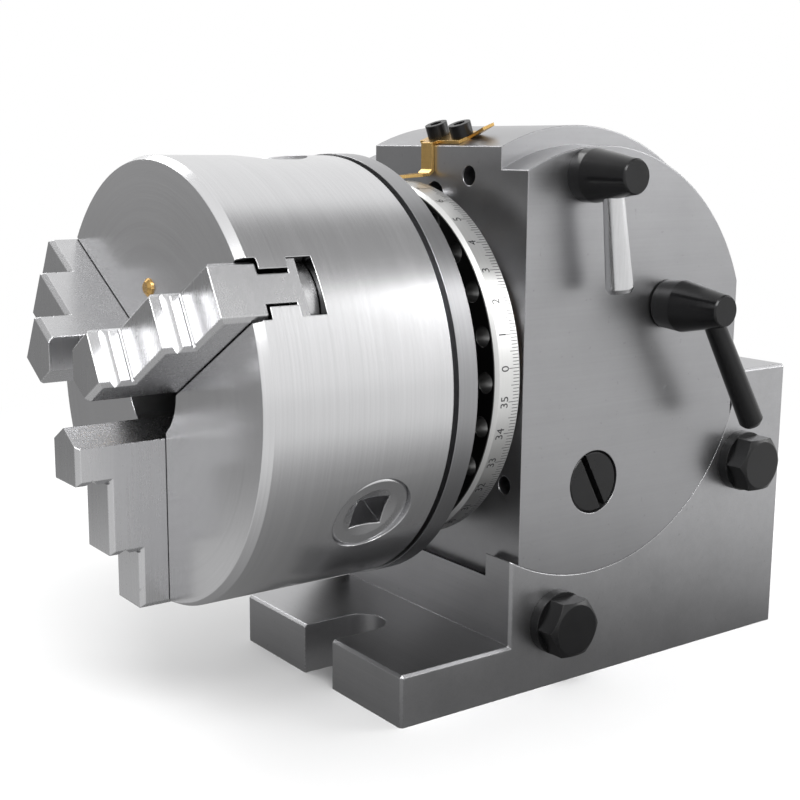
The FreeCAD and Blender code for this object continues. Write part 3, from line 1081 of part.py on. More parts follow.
def jaw(angle):
    """Stepped jaw with its guide section, scroll teeth and gripping tip, turned to its slot."""
    body = stepped(jaw_section((JAW_TIP, JAW_END), JAW_STEPS[-1][1]))
    low = CENTRE_HEIGHT - JAW_WIDTH
    for (outer, step_top), (riser, riser_top) in zip(JAW_STEPS, JAW_STEPS[1:]):
        middle = (step_top + riser_top) / 2
        groove = outline([Vector(middle - STEP_GROOVE, riser, low), Vector(middle, riser - STEP_GROOVE, low),
                          Vector(middle + STEP_GROOVE, riser, low)]).extrude(Z * 2 * JAW_WIDTH)
        foot = Vector(step_top, riser, low)
        relief = cylinder(RISER_RELIEF, foot, foot + Z * 2 * JAW_WIDTH)
        body = body.cut(fused([groove, relief]))
    tooth_roof = JAW_FOOT_BACK + RIDGE_HEIGHT
    body = body.cut(box((0, tooth_roof), (0, JAW_END + 1), (0, 2 * CENTRE_HEIGHT)))
    whole = fused([body] + jaw_teeth(angle)).cut(jaw_tip())
    return around_spindle(largest(whole), angle)


# ---- Levers, index pin and lock --------------------------------------------------------------

def lever(place, hub, out, lean, handle):
    """Hub and handle of a lever on the +Y side. The handle leans from straight down to the rear."""
    x, up = place
    z = CENTRE_HEIGHT + up
    hub_solid = turned([(hub[0][0], 0)] + list(hub) + [(hub[-1][0], 0)], Vector(x, HALF_WIDTH, z), Y, Z)
    start = Vector(x, HALF_WIDTH + out, z)
    direction = Vector(-sin(radians(lean)), 0, -cos(radians(lean)))
    handle_solid = turned([(handle[0][0], 0)] + list(handle) + [(handle[-1][0], 0)], start, direction, Y)
    return hub_solid.cut(handle_solid), handle_solid


def index_lever():
    """Upper lever, with the pinion that drives the direct index pin."""
    hub, handle = lever(INDEX_LEVER_PLACE, INDEX_HUB, INDEX_HANDLE_OUT, INDEX_HANDLE_LEAN, INDEX_HANDLE)
    x, up = INDEX_LEVER_PLACE
    z = CENTRE_HEIGHT + up
    shaft = crosswise(INDEX_SHAFT_RADIUS, x, z, RACK_HALF_WIDTH + FREE, HALF_WIDTH + INDEX_HUB[0][0])
    points = gear_points(RACK_TEETH, RACK_PITCH_RADIUS, RACK_MODULE * 0.8, RACK_MODULE, GEAR_PRESSURE,
                         GEAR_BACKLASH, -pi / 2)
    gear = outline([Vector(x + side, -RACK_HALF_WIDTH, z + up) for side, up in points])
    gear = gear.extrude(Y * (2 * RACK_HALF_WIDTH + 1))
    return {"index_lever_hub": fused([hub, shaft, gear]), "index_lever_handle": handle}


def index_pin():
    """Direct index pin with a rack on top, drawn back from the dial."""
    lever_x, lever_up = INDEX_LEVER_PLACE
    tip = DIAL_REAR - FREE - INDEX_PIN_TRAVEL
    shoulder = tip - INDEX_PIN_TIP_LENGTH
    origin = Vector(0, 0, INDEX_PIN_Z)
    pin = turned([(tip, 0), (tip, INDEX_PIN_TIP_RADIUS - 0.5), (tip - 1, INDEX_PIN_TIP_RADIUS),
                  (shoulder, INDEX_PIN_TIP_RADIUS), (shoulder - 1.5, INDEX_PIN_RADIUS),
                  (tip - INDEX_PIN_LENGTH, INDEX_PIN_RADIUS), (tip - INDEX_PIN_LENGTH, 0)], origin)
    pitch_line = CENTRE_HEIGHT + lever_up - RACK_PITCH_RADIUS
    slope = tan(radians(GEAR_PRESSURE))
    pitch = pi * RACK_MODULE
    half = pitch / 4 + GEAR_BACKLASH / 4
    top = pitch_line + RACK_MODULE * 0.8
    bottom = pitch_line - RACK_MODULE
    reach = 4
    spaces = []
    for i in range(-reach, reach + 1):
        middle = lever_x + i * pitch
        wide = half + (INDEX_PIN_Z + INDEX_PIN_RADIUS + 1 - pitch_line) * slope
        narrow = half - RACK_MODULE * slope
        space = [Vector(middle - narrow, -INDEX_PIN_RADIUS - 1, bottom), Vector(middle + narrow, -INDEX_PIN_RADIUS - 1, bottom),
                 Vector(middle + wide, -INDEX_PIN_RADIUS - 1, INDEX_PIN_Z + INDEX_PIN_RADIUS + 1),
                 Vector(middle - wide, -INDEX_PIN_RADIUS - 1, INDEX_PIN_Z + INDEX_PIN_RADIUS + 1)]
        spaces.append(outline(space).extrude(Y * 2 * (INDEX_PIN_RADIUS + 1)))
    flat_half = (reach + 0.5) * pitch
    flat = box((lever_x - flat_half, lever_x + flat_half), (-INDEX_PIN_RADIUS - 1, INDEX_PIN_RADIUS + 1),
               (top, top + 2 * INDEX_PIN_RADIUS))
    pin = pin.cut(flat)
    for space in spaces:
        pin = pin.cut(space)
    return pin


def spindle_lock():
    """Lower lever with its stud, and the two cotters that it draws together on the spindle."""
    hub, handle = lever(LOCK_PLACE, LOCK_HUB, LOCK_HANDLE_OUT, LOCK_HANDLE_LEAN, LOCK_HANDLE)
    x, up = LOCK_PLACE
    z = CENTRE_HEIGHT + up
    inner = COTTER_GAP / 2
    outer = inner + COTTER_LENGTH
    collar = crosswise(COTTER_RADIUS - FREE, x, z, outer + FREE, HALF_WIDTH + LOCK_HUB[0][0])
    stud = crosswise(LOCK_STUD_RADIUS, x, z, -outer, outer + FREE)
    cotters = []
    room = cylinder(REAR_JOURNAL_RADIUS + RUN, on_spindle(-HEAD_REAR), on_spindle(HEAD_FRONT))
    for start, end in ((inner, outer), (-outer, -inner)):
        cotter = crosswise(COTTER_RADIUS, x, z, start, end)
        cotters.append(cotter.cut(crosswise(LOCK_STUD_RADIUS + RUN, x, z, start, end)).cut(room))
    return {"lock_lever_hub": fused([hub, collar, stud]), "lock_lever_handle": handle,
            "lock_cotters": Part.makeCompound(cotters)}


# ---- Pointer ---------------------------------------------------------------------------------

def pointer_frame(shape):
    """Moves what is drawn on top of the drum at x = 0 to the angle of the pointer."""
    return shape.rotated(Vector(0, 0, CENTRE_HEIGHT), Y, POINTER_ANGLE)


def pointer_screw_axes():
    """Seat, direction and hole length of the two pointer screws."""
    lean = radians(POINTER_ANGLE)
    down = Vector(-sin(lean), 0, -cos(lean))
    seat_radius = DRUM_RADIUS + POINTER_THICKNESS
    return [(Vector(seat_radius * sin(lean), y, CENTRE_HEIGHT + seat_radius * cos(lean)), down,
             POINTER_SCREW_LENGTH + 2) for y in POINTER_SCREWS]


def pointer():
    """Brass pointer: plate tangent to the drum, strip bent down the front face and a tip over the dial."""
    y_from, y_to, half = POINTER_PLATE
    top = CENTRE_HEIGHT + DRUM_RADIUS
    plate = box((-half, half), (y_from, y_to), (top, top + POINTER_THICKNESS))
    tail_length, tail_rise = POINTER_TAIL
    tail = [Vector(-half, y_to, top), Vector(-half, y_to + tail_length, top + tail_rise),
            Vector(-half, y_to + tail_length, top + tail_rise + POINTER_THICKNESS), Vector(-half, y_to, top + POINTER_THICKNESS)]
    tail = outline(tail).extrude(X * half)
    plate = pointer_frame(fused([plate, tail]))
    lean = radians(POINTER_ANGLE)
    face_x = HEAD_FRONT + POINTER_THICKNESS / 2 + SLIDE
    tip_z = CENTRE_HEIGHT + DIAL_RADIUS + FREE + POINTER_THICKNESS / 2
    sheet = DRUM_RADIUS + POINTER_THICKNESS / 2
    corner = (face_x, CENTRE_HEIGHT + (sheet - face_x * sin(lean)) / cos(lean))
    back = (corner[0] - half * cos(lean), corner[1] + half * sin(lean))
    path = [back, corner, (face_x, tip_z + 2.2), (face_x + 1.5, tip_z + 0.9), (DIAL_REAR + 2, tip_z)]
    strip = bent_strip(path, POINTER_THICKNESS, *POINTER_STRIP)
    middle = sum(POINTER_STRIP) / 2
    tip_start = face_x + 4
    tip_end = DIAL_REAR + 2 + POINTER_THICKNESS
    for sign in (1, -1):
        wide = middle + sign * 4
        side = [Vector(tip_start, wide, 0), Vector(tip_start, middle + sign * 2.8, 0),
                Vector(tip_end, middle + sign * 0.3, 0), Vector(tip_end, wide, 0)]
        strip = strip.cut(outline(side).extrude(Z * 2 * tip_z))
    pieces = plate.fuse(strip)
    for place, direction, length in pointer_screw_axes():
        pieces = pieces.cut(cylinder(POINTER_SCREW_RADIUS + 0.15, place - direction, place + direction * length))
    return pieces


def bent_strip(path, thickness, y_from, y_to):
    """Sheet of even thickness along an (x, z) path, between two y values."""
    half = thickness / 2
    sides = ([], [])
    for i, (x, z) in enumerate(path):
        before = path[max(i - 1, 0)]
        after = path[min(i + 1, len(path) - 1)]
        first = Vector(x - before[0], 0, z - before[1]) if i else Vector(after[0] - x, 0, after[1] - z)
        second = Vector(after[0] - x, 0, after[1] - z) if i < len(path) - 1 else first
        bisector = (first.normalize() + second.normalize()).normalize()
        stretch = half / max(bisector.dot(second), 0.5)
        normal = Vector(-bisector.z, 0, bisector.x) * stretch
        sides[0].append(Vector(x, y_from, z) + normal)
        sides[1].append(Vector(x, y_from, z) - normal)
    return outline(sides[0] + sides[1][::-1]).extrude(Y * (y_to - y_from))


def pointer_screws():
    """Two socket screws of the pointer."""
    height = POINTER_SCREW_RADIUS * 2
    return Part.makeCompound([cap_screw(place - direction * height, direction, POINTER_SCREW_RADIUS - RUN,
                                        POINTER_SCREW_LENGTH, POINTER_SCREW_RADIUS * 1.75, height)
                              for place, direction, _ in pointer_screw_axes()])


def nodes():
    """Every named piece of the assembly."""
    made = {"base": base(), "housing": housing(), "rear_cover": rear_cover(), "cover_screws": cover_screws(),
            "worm_wheel": worm_wheel(), "wheel_key": key_block(), "worm": worm(), "worm_sleeve": worm_sleeve(),
            "worm_plug": worm_plug(), "index_plate": index_plate(), "index_plate_screws": index_plate_screws(),
            "crank_arm": crank_arm(), "crank_nut": crank_nut(), "spindle": spindle(),
            "spindle_nut": spindle_nut(), "thrust_washer": thrust_washer(), "dial": dial(),
            "dial_screws": dial_screws(), "chuck_back_plate": chuck_back_plate(), "chuck_screws": chuck_screws(),
            "chuck_body": chuck_body(), "chuck_cover": chuck_cover(), "oil_nipple": oil_nipple(),
            "scroll_plate": scroll_plate(), "pinion_pins": pinion_pins(), "index_pin": index_pin(),
            "pointer": pointer(), "pointer_screws": pointer_screws()}
    for group in (clamp_set, bushes, sector_arms, plunger, index_lever, spindle_lock):
        made.update(group())
    for number, angle in enumerate(JAW_ANGLES, 1):
        made[f"jaw_{number}"] = jaw(angle)
        made[f"chuck_pinion_{number}"] = pinion(angle + 180)
    return made


os.makedirs("parts", exist_ok=True)
for node, shape in nodes().items():
    shape.exportStep(f"parts/{node}.step")
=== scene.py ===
"""Dresses the dividing head: machined finishes for every part, the engraved dial, the drilled index
plate, the detailed screws, and a plain stage with lamps and a camera."""

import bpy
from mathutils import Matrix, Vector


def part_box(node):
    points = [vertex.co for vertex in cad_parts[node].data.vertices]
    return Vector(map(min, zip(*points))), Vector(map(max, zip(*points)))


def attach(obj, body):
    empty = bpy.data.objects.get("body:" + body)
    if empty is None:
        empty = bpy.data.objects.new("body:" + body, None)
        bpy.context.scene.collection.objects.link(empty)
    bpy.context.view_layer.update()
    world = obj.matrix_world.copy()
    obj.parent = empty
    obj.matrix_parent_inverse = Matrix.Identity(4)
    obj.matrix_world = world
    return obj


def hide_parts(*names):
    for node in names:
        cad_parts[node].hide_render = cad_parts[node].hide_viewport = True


bl_info = {
    "name": "Dividing Head",
    "version": (1, 0, 0),
    "blender": (4, 5, 0),
    "location": "3D View > Sidebar > Dividing Head",
    "description": "Finishes and small details of a semi-universal dividing head with a scroll chuck",
    "category": "Add Mesh",
}

from math import cos, pi, radians, sin

import bmesh
import bpy
from bpy.props import (FloatProperty, FloatVectorProperty, IntProperty, IntVectorProperty,
                       PointerProperty)
from bpy.types import Operator, Panel, PropertyGroup
from mathutils import Matrix, Vector

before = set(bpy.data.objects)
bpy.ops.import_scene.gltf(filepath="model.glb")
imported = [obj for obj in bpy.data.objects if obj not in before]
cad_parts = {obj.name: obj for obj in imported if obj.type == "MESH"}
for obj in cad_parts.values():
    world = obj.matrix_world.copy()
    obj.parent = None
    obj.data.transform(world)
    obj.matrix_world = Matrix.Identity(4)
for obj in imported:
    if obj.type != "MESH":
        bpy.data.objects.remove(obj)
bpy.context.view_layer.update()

MM = 0.001
SPINDLE = Vector((0.0, 0.0, 0.1))       # a point on the spindle axis, which runs along X
WORM = Vector((0.0, 0.0, 0.0631))       # a point on the worm axis, which runs along Y
JAW_ANGLES = (30.0, 150.0, 270.0)       # degrees round the spindle, from +Y towards +Z
CRANK_ANGLE = radians(120)              # where the plunger stands, round the worm axis
PLUNGER = Vector((-0.022, 0, 0.1012))   # a point on the plunger's axis, which runs along Y
INDEX_PIN = Vector((0.0, 0.0, 0.1502))  # a point on the direct index pin's axis, along X
SLOT_REACH = 8.6 * MM                   # from the middle of a jaw slot to past its wall
CHUCK_RIM = 62.42 * MM                  # outside this is the chuck's ground rim, not the slot's walls
SLOT_REAR, SLOT_FRONT = 90.0 * MM, 127.95 * MM      # where the slots lie along the spindle
DIAL_HOLES_FROM = 41.1 * MM             # from here forwards the dial's inner walls get painted shade
DIAL_RIM = 54.0 * MM                    # outside this the dial is bright again
DIAL_FACE = 49.4 * MM                   # the dial's front face lies beyond this
PLATE_REAR = 62.1 * MM                  # the back plate's rear face and hub lie before this
DIAL_ZERO = 4.5                         # degrees from +Y to the dial's zero line
END_WALL = (0.59, -0.80, 0.0)           # towards a painted dark patch that reflections see, standing in for a studio end wall
CEILING = (-0.576, 0.21, 0.79)          # towards a painted dark patch that reflections see, standing in for a studio ceiling


# ---- Sizes and colours -------------------------------------------------------------------------

def length(name, description, default):
    return FloatProperty(name=name, description=description, default=default, unit="LENGTH", precision=5)


def tint(name, description, default):
    return FloatVectorProperty(name=name, description=description, default=default, size=3,
                               subtype="COLOR", min=0.0, max=1.0)


class DialSizes(PropertyGroup):
    one: length("One degree", "Length of a one degree line", 2.1 * MM)
    five: length("Five degrees", "Length of a five degree line", 2.9 * MM)
    ten: length("Ten degrees", "Length of a ten degree line", 3.6 * MM)
    line: length("Line width", "Width of a graduation line", 0.17 * MM)
    numeral: length("Numeral height", "Height of the numbers, from 0 to 35", 2.7 * MM)
    numeral_x: length("Numeral place", "Middle of the numbers along the spindle", 46.1 * MM)
    depth: length("Paint thickness", "How far lines and numbers stand off the dial", 0.02 * MM)


class PlateSizes(PropertyGroup):
    hole: length("Hole radius", "Radius of the plain index holes", 0.95 * MM)
    working_hole: length("Working hole radius", "Radius of the holes that the plunger uses", 1.6 * MM)
    working_circle: length("Working circle", "Radius of the circle that the plunger uses", 44.0 * MM)
    first_circle: length("Inner circle", "Radius of the innermost circle of holes", 26.5 * MM)
    circle_step: length("Circle step", "Distance between circles of holes", 3.4 * MM)
    bore: length("Bore radius", "Radius of the hole in the middle", 15.0 * MM)
    working_count: IntProperty(name="Working holes", description="Holes on the working circle", default=20,
                               min=3)
    counts: IntVectorProperty(name="Hole counts", description="Holes on the other circles, from the inside",
                              size=5, default=(15, 18, 21, 27, 33), min=3)
    edge: length("Rounded edge", "Size of the plate's broken edges", 0.4 * MM)


class ScrewSizes(PropertyGroup):
    knurl: IntProperty(name="Knurls", description="Grooves round a screw head", default=36, min=12)
    knurl_depth: length("Knurl depth", "Depth of the grooves round a screw head", 0.12 * MM)
    circle: length("Screw circle", "Radius of the circle of cover screws", 25.0 * MM)
    height: length("Head height", "Height of a screw head", 3.2 * MM)
    socket: length("Socket", "Hexagon socket across its flats", 2.4 * MM)
    shank: length("Shank radius", "Radius of a screw's shank", 1.5 * MM)
    reach: length("Shank length", "Length of the shank below the head", 5.0 * MM)


class Finishes(PropertyGroup):
    casting: tint("Casting", "Ground cast iron of the swivel housing", (0.40, 0.40, 0.41))
    base: tint("Base", "Ground cast iron of the base", (0.47, 0.47, 0.48))
    chuck: tint("Chuck", "Turned steel of the chuck", (0.72, 0.72, 0.73))
    jaw: tint("Jaw", "Ground hardened jaws", (0.62, 0.62, 0.63))
    bright: tint("Bright steel", "Polished steel", (0.70, 0.70, 0.71))
    dial: tint("Dial", "Satin chrome of the dial", (0.80, 0.80, 0.79))
    dark: tint("Dark steel", "Unpolished steel inside the head", (0.22, 0.22, 0.23))
    black: tint("Black oxide", "Blackened steel of levers and screws", (0.006, 0.006, 0.0065))
    brass: tint("Brass", "Brass of the pointer", (0.72, 0.47, 0.17))
    bronze: tint("Bronze", "Bushes and worm wheel", (0.58, 0.36, 0.17))
    paint: tint("Engraving", "Filled engraving of the dial", (0.02, 0.02, 0.022))


class StageSizes(PropertyGroup):
    azimuth: FloatProperty(name="Azimuth", description="Turn of the camera round the head",
                           default=radians(144.02), subtype="ANGLE")
    elevation: FloatProperty(name="Elevation", description="Height of the camera above the horizon",
                             default=radians(10.63), subtype="ANGLE")
    roll: FloatProperty(name="Roll", description="Turn of the camera about its view",
                        default=radians(0.44), subtype="ANGLE")
    lens: FloatProperty(name="Lens", description="Focal length in millimetres", default=60.9)
    place: FloatVectorProperty(name="Place", description="Where the camera stands", size=3,
                               default=(0.28935, 0.33968, 0.16533), subtype="XYZ", unit="LENGTH")
    floor: length("Floor", "Half width of the floor", 3.0)
    pale: length("Pale from", "Where the floor starts to fade into the background", 0.22)


# ---- Materials ---------------------------------------------------------------------------------

class Wire:
    """An output socket that takes part in sums."""

    def __init__(self, recipe, socket):
        self.recipe = recipe
        self.socket = socket

    def sum(self, operation, *values):
        return self.recipe.node("ShaderNodeMath", {"operation": operation}, dict(enumerate(values)))

    def __add__(self, other):
        return self.sum("ADD", self, other)

    def __sub__(self, other):
        return self.sum("SUBTRACT", self, other)

    def __rsub__(self, other):
        return self.sum("SUBTRACT", other, self)

    def __mul__(self, other):
        return self.sum("MULTIPLY", self, other)

    def __pow__(self, other):
        return self.sum("POWER", self, other)

    __radd__ = __add__
    __rmul__ = __mul__


class Recipe:
    """The nodes of one material or of the world."""

    def __init__(self, block):
        block.use_nodes = True
        self.tree = block.node_tree
        self.tree.nodes.clear()

    def node(self, kind, settings, sockets, output=0):
        """Adds a node: its settings first, then the value or link of each socket."""
        made = self.tree.nodes.new(kind)
        for name, value in settings.items():
            setattr(made, name, value)
        for key, value in sockets.items():
            if isinstance(value, Wire):
                self.tree.links.new(value.socket, made.inputs[key])
            else:
                made.inputs[key].default_value = value
        return Wire(self, made.outputs[output])

    def place(self):
        return self.node("ShaderNodeTexCoord", {}, {}, "Object")

    def split(self, vector):
        return [self.node("ShaderNodeSeparateXYZ", {}, {0: vector}, axis) for axis in "XYZ"]

    def join(self, x, y, z):
        return self.node("ShaderNodeCombineXYZ", {}, {0: x, 1: y, 2: z})

    def stretch(self, vector, x, y, z):
        return self.node("ShaderNodeVectorMath", {"operation": "MULTIPLY"}, {0: vector, 1: (x, y, z)})

    def dot(self, one, other):
        return self.node("ShaderNodeVectorMath", {"operation": "DOT_PRODUCT"}, {0: one, 1: other}, "Value")

    def noise(self, vector, scale=1.0, detail=2.0, rough=0.5):
        return self.node("ShaderNodeTexNoise", {},
                         {"Vector": vector, "Scale": scale, "Detail": detail, "Roughness": rough})

    def fit(self, value, low, high, to_low=0.0, to_high=1.0):
        return self.node("ShaderNodeMapRange", {"interpolation_type": "SMOOTHSTEP"},
                         {0: value, 1: low, 2: high, 3: to_low, 4: to_high})

    def tone(self, colour, level):
        """A colour made darker or lighter by a value."""
        return self.node("ShaderNodeVectorMath", {"operation": "SCALE"}, {0: colour, "Scale": level})

    def blend(self, factor, one, other):
        """One colour turning into another."""
        return self.node("ShaderNodeMix", {"data_type": "RGBA"},
                         {0: factor, 6: (*one, 1.0) if isinstance(one, tuple) else one,
                          7: (*other, 1.0) if isinstance(other, tuple) else other}, 2)

    def rounded(self, radius):
        """The surface normal with the edges rounded off, and a mask of those edges."""
        soft = self.node("ShaderNodeBevel", {"samples": 4}, {"Radius": radius})
        true = self.node("ShaderNodeNewGeometry", {}, {}, "Normal")
        return soft, self.fit(1.0 - self.dot(soft, true), 0.004, 0.12)

    def bump(self, height, depth, normal):
        return self.node("ShaderNodeBump", {},
                         {"Strength": 1.0, "Distance": depth, "Height": height, "Normal": normal})

    def surface(self, colour, roughness, normal, **constants):
        sockets = {"Base Color": colour, "Roughness": roughness, "Normal": normal}
        sockets.update({name.replace("_", " "): value for name, value in constants.items()})
        shader = self.node("ShaderNodeBsdfPrincipled", {}, sockets)
        self.output(shader)

    def output(self, shader, kind="ShaderNodeOutputMaterial"):
        made = self.tree.nodes.new(kind)
        self.tree.links.new(shader.socket, made.inputs[0])


def material(name):
    block = bpy.data.materials.new(name)
    return block, Recipe(block)


def about_axis(recipe, centre, axis):
    """Distance from an axis parallel to X, Y or Z, and place along it."""
    parts = recipe.split(recipe.place())
    along = parts["XYZ".index(axis)]
    others = [part - centre["XYZ".index(name)] for part, name in zip(parts, "XYZ") if name != axis]
    out = (others[0] * others[0] + others[1] * others[1]) ** 0.5
    turn = recipe.node("ShaderNodeMath", {"operation": "ARCTAN2"}, {0: others[1], 1: others[0]})
    return out, along, turn


def turned(name, colour, centre, axis, roughness=0.24, marks=1.0, contrast=0.10, painted_shade_zone=None):
    """Metal finished on a lathe: fine rings that follow the tool round the axis. The last argument gives a
    mask of painted shade, surfaces darkened to stand for shadow, from the distance out, the place along the
    axis and the turn."""
    block, recipe = material(name)
    out, along, turn = about_axis(recipe, centre, axis)
    fine = recipe.noise(recipe.join(out * 2600.0, along * 2600.0, turn * 1.2), detail=2.0)
    broad = recipe.noise(recipe.join(out * 420.0, along * 420.0, turn * 0.6), detail=3.0)
    cloud = recipe.noise(recipe.place(), scale=38.0, detail=3.0)
    scratches = recipe.noise(recipe.join(out * 900.0, along * 900.0, turn * 14.0), detail=1.0)
    normal, edge = recipe.rounded(0.35 * MM)
    level = (1.0 - contrast) + (fine - 0.5) * contrast * 2.0 + (broad - 0.5) * contrast \
        + (cloud - 0.5) * contrast * 0.6 + edge * 0.14
    rough = roughness + (broad - 0.5) * 0.05 + (cloud - 0.5) * 0.04 + (scratches - 0.5) * 0.04 - edge * 0.04
    height = fine * 0.8 + broad * 0.3 + scratches * 0.12
    if painted_shade_zone:
        # painted shade: the masked surfaces lose most of their colour to stand for shadow
        level = level * (1.0 - painted_shade_zone(recipe, out, along) * 0.88)
    recipe.surface(recipe.tone(colour, level), rough, recipe.bump(height, 0.006 * MM * marks, normal),
                   Metallic=1.0)
    return block


def above(recipe, value, limit):
    """1 where the value is over a limit, with a sharp edge."""
    return recipe.node("ShaderNodeMath", {"operation": "GREATER_THAN"}, {0: value, 1: limit})


def dial_shade(recipe, out, along):
    """Painted shade on the dial's front face and the walls of its holes, which lie in the shadow of the
    chuck.
    """
    walls = above(recipe, along, DIAL_HOLES_FROM) * (1.0 - above(recipe, out, DIAL_RIM))
    front = above(recipe, along, DIAL_FACE)
    return recipe.node("ShaderNodeMath", {"operation": "MAXIMUM"}, {0: walls, 1: front})


def slot_shade(recipe, out, along):
    """Painted shade on the walls of the three jaw slots, darkened behind the ground outer surfaces."""
    x, y, z = recipe.split(recipe.place())
    up = z - SPINDLE.z
    inside = (1.0 - above(recipe, along, SLOT_FRONT)) * (1.0 - above(recipe, out, CHUCK_RIM)) \
        * above(recipe, along, SLOT_REAR)
    near = 0.0
    for angle in JAW_ANGLES:
        aside = up * cos(radians(angle)) - y * sin(radians(angle))
        forward = y * cos(radians(angle)) + up * sin(radians(angle))
        far = above(recipe, aside * aside, SLOT_REACH ** 2)
        near = (1.0 - far) * above(recipe, forward, 0.0) + near
    return recipe.node("ShaderNodeMath", {"operation": "MINIMUM"}, {0: inside * near, 1: 1.0})


def plate_shade(recipe, out, along):
    """The hub and rear face of the back plate, as turned, with painted shade for the dark gap beside the
    dial.
    """
    return 1.0 - above(recipe, along, PLATE_REAR)


def ground(name, colour, stroke, roughness=0.3, mottle=0.10, lines=1.0, wear=0.16):
    """Metal finished on a surface grinder: long fine scratches along the stroke over a soft mottle."""
    block, recipe = material(name)
    place = recipe.place()
    long, across = 26.0, 1700.0
    scale = [long if part else across for part in stroke]
    scratch = recipe.noise(recipe.stretch(place, *scale), detail=3.0, rough=0.6)
    coarse = recipe.noise(recipe.stretch(place, *[value * 0.22 for value in scale]), detail=2.0)
    grain = recipe.noise(place, scale=950.0, detail=2.0, rough=0.7)
    cloud = recipe.noise(place, scale=46.0, detail=4.0, rough=0.62)
    pits = recipe.fit(recipe.noise(place, scale=620.0, detail=1.0), 0.72, 0.80)
    normal, edge = recipe.rounded(0.45 * MM)
    level = 0.94 + (scratch - 0.5) * 0.16 * lines + (coarse - 0.5) * 0.10 * lines + (grain - 0.5) * 0.04 \
        + (cloud - 0.5) * mottle * 2.0 + edge * wear - pits * 0.10
    rough = roughness + (cloud - 0.5) * 0.10 + (scratch - 0.5) * 0.06 - edge * 0.08 + pits * 0.1
    height = scratch * 0.5 * lines + grain * 0.10 - pits * 0.3
    recipe.surface(recipe.tone(colour, level), rough, recipe.bump(height, 0.006 * MM, normal), Metallic=1.0)
    return block


def blackened(name, colour, roughness=0.30, wear=0.55):
    """Black oxide on steel: deep black with an oily sheen, rubbed through to grey on the edges."""
    block, recipe = material(name)
    place = recipe.place()
    grain = recipe.noise(place, scale=1500.0, detail=2.0, rough=0.6)
    cloud = recipe.noise(place, scale=120.0, detail=3.0)
    rub = recipe.noise(place, scale=420.0, detail=3.0, rough=0.7)
    normal, edge = recipe.rounded(0.4 * MM)
    bare = edge * recipe.fit(rub, 0.42, 0.68) * wear
    level = 0.8 + (cloud - 0.5) * 0.7 + (grain - 0.5) * 0.4
    skin = recipe.tone(colour, level)
    rough = roughness + (cloud - 0.5) * 0.16 + (grain - 0.5) * 0.08
    recipe.surface(recipe.blend(bare, skin, (0.09, 0.09, 0.092)), rough,
                   recipe.bump(grain * 0.6 + cloud, 0.012 * MM, normal), Metallic=0.0, Specular_IOR_Level=0.3,
                   Coat_Weight=0.12, Coat_Roughness=0.1)
    return block


def coloured_metal(name, colour, roughness=0.28, tarnish=(0.45, 0.26, 0.09)):
    """Brass or bronze: soft brushed metal that has dulled in patches."""
    block, recipe = material(name)
    place = recipe.place()
    cloud = recipe.noise(place, scale=160.0, detail=4.0, rough=0.6)
    brush = recipe.noise(recipe.stretch(place, 1800.0, 60.0, 1800.0), detail=2.0)
    normal, edge = recipe.rounded(0.25 * MM)
    dull = recipe.fit(cloud, 0.48, 0.72) * 0.55 * (1.0 - edge)
    rough = roughness + (cloud - 0.5) * 0.2 + (brush - 0.5) * 0.12
    level = 0.95 + (brush - 0.5) * 0.16 + edge * 0.12
    recipe.surface(recipe.tone(recipe.blend(dull, colour, tarnish), level), rough,
                   recipe.bump(brush, 0.008 * MM, normal), Metallic=1.0)
    return block


def moulded(name, colour):
    """Glossy moulded plastic with a faint flow pattern and rubbed edges."""
    block, recipe = material(name)
    place = recipe.place()
    flow = recipe.noise(place, scale=240.0, detail=3.0)
    haze = recipe.noise(place, scale=60.0, detail=2.0)
    normal, edge = recipe.rounded(0.5 * MM)
    level = 0.9 + (flow - 0.5) * 0.25 + edge * 0.6
    recipe.surface(recipe.tone(colour, level), 0.16 + (haze - 0.5) * 0.12 + edge * 0.1,
                   recipe.bump(flow, 0.01 * MM, normal), Metallic=0.0, Coat_Weight=0.4, Coat_Roughness=0.06)
    return block


def painted(name, colour):
    """Paint rubbed into an engraved line."""
    block, recipe = material(name)
    place = recipe.place()
    grain = recipe.noise(place, scale=2600.0, detail=2.0)
    normal, edge = recipe.rounded(0.05 * MM)
    recipe.surface(recipe.tone(colour, 0.7 + grain * 0.8), 0.5 + (grain - 0.5) * 0.2,
                   recipe.bump(grain, 0.003 * MM, normal), Metallic=0.0)
    return block


def finish_nodes(block, *names):
    """Gives carried-over parts their material."""
    for name in names:
        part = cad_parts[name]
        for place in part.material_slots:
            place.material = block


def sizes(context):
    return context.scene.dividing_head


# ---- Mesh helpers --------------------------------------------------------------------------------

def add_piece(name, mesh, block, body):
    """Makes an object of a mesh, gives it its material and lets it ride on a body."""
    piece = bpy.data.objects.new(name, mesh)
    bpy.context.scene.collection.objects.link(piece)
    if not mesh.materials:
        mesh.materials.append(block)
    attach(piece, body)
    return piece


def mesh_from(build, name):
    work = bmesh.new()
    build(work)
    bmesh.ops.recalc_face_normals(work, faces=work.faces)
    mesh = bpy.data.meshes.new(name)
    work.to_mesh(mesh)
    work.free()
    return mesh


def axes(direction):
    """Two unit vectors square to a direction and to each other."""
    side = direction.cross(Vector((0, 0, 1)) if abs(direction.z) < 0.9 else Vector((1, 0, 0))).normalized()
    return side, direction.cross(side).normalized()


def ring(work, centre, direction, radii):
    """A closed loop of vertices round a centre, one for each radius in turn."""
    side, up = axes(direction)
    count = len(radii)
    return [work.verts.new(centre + (side * cos(2 * pi * i / count) + up * sin(2 * pi * i / count)) * radius)
            for i, radius in enumerate(radii)]


def bridge(work, one, other):
    """Joins two loops with four-sided faces."""
    count = len(one)
    for i in range(count):
        work.faces.new((one[i], one[(i + 1) % count], other[(i + 1) % count], other[i]))


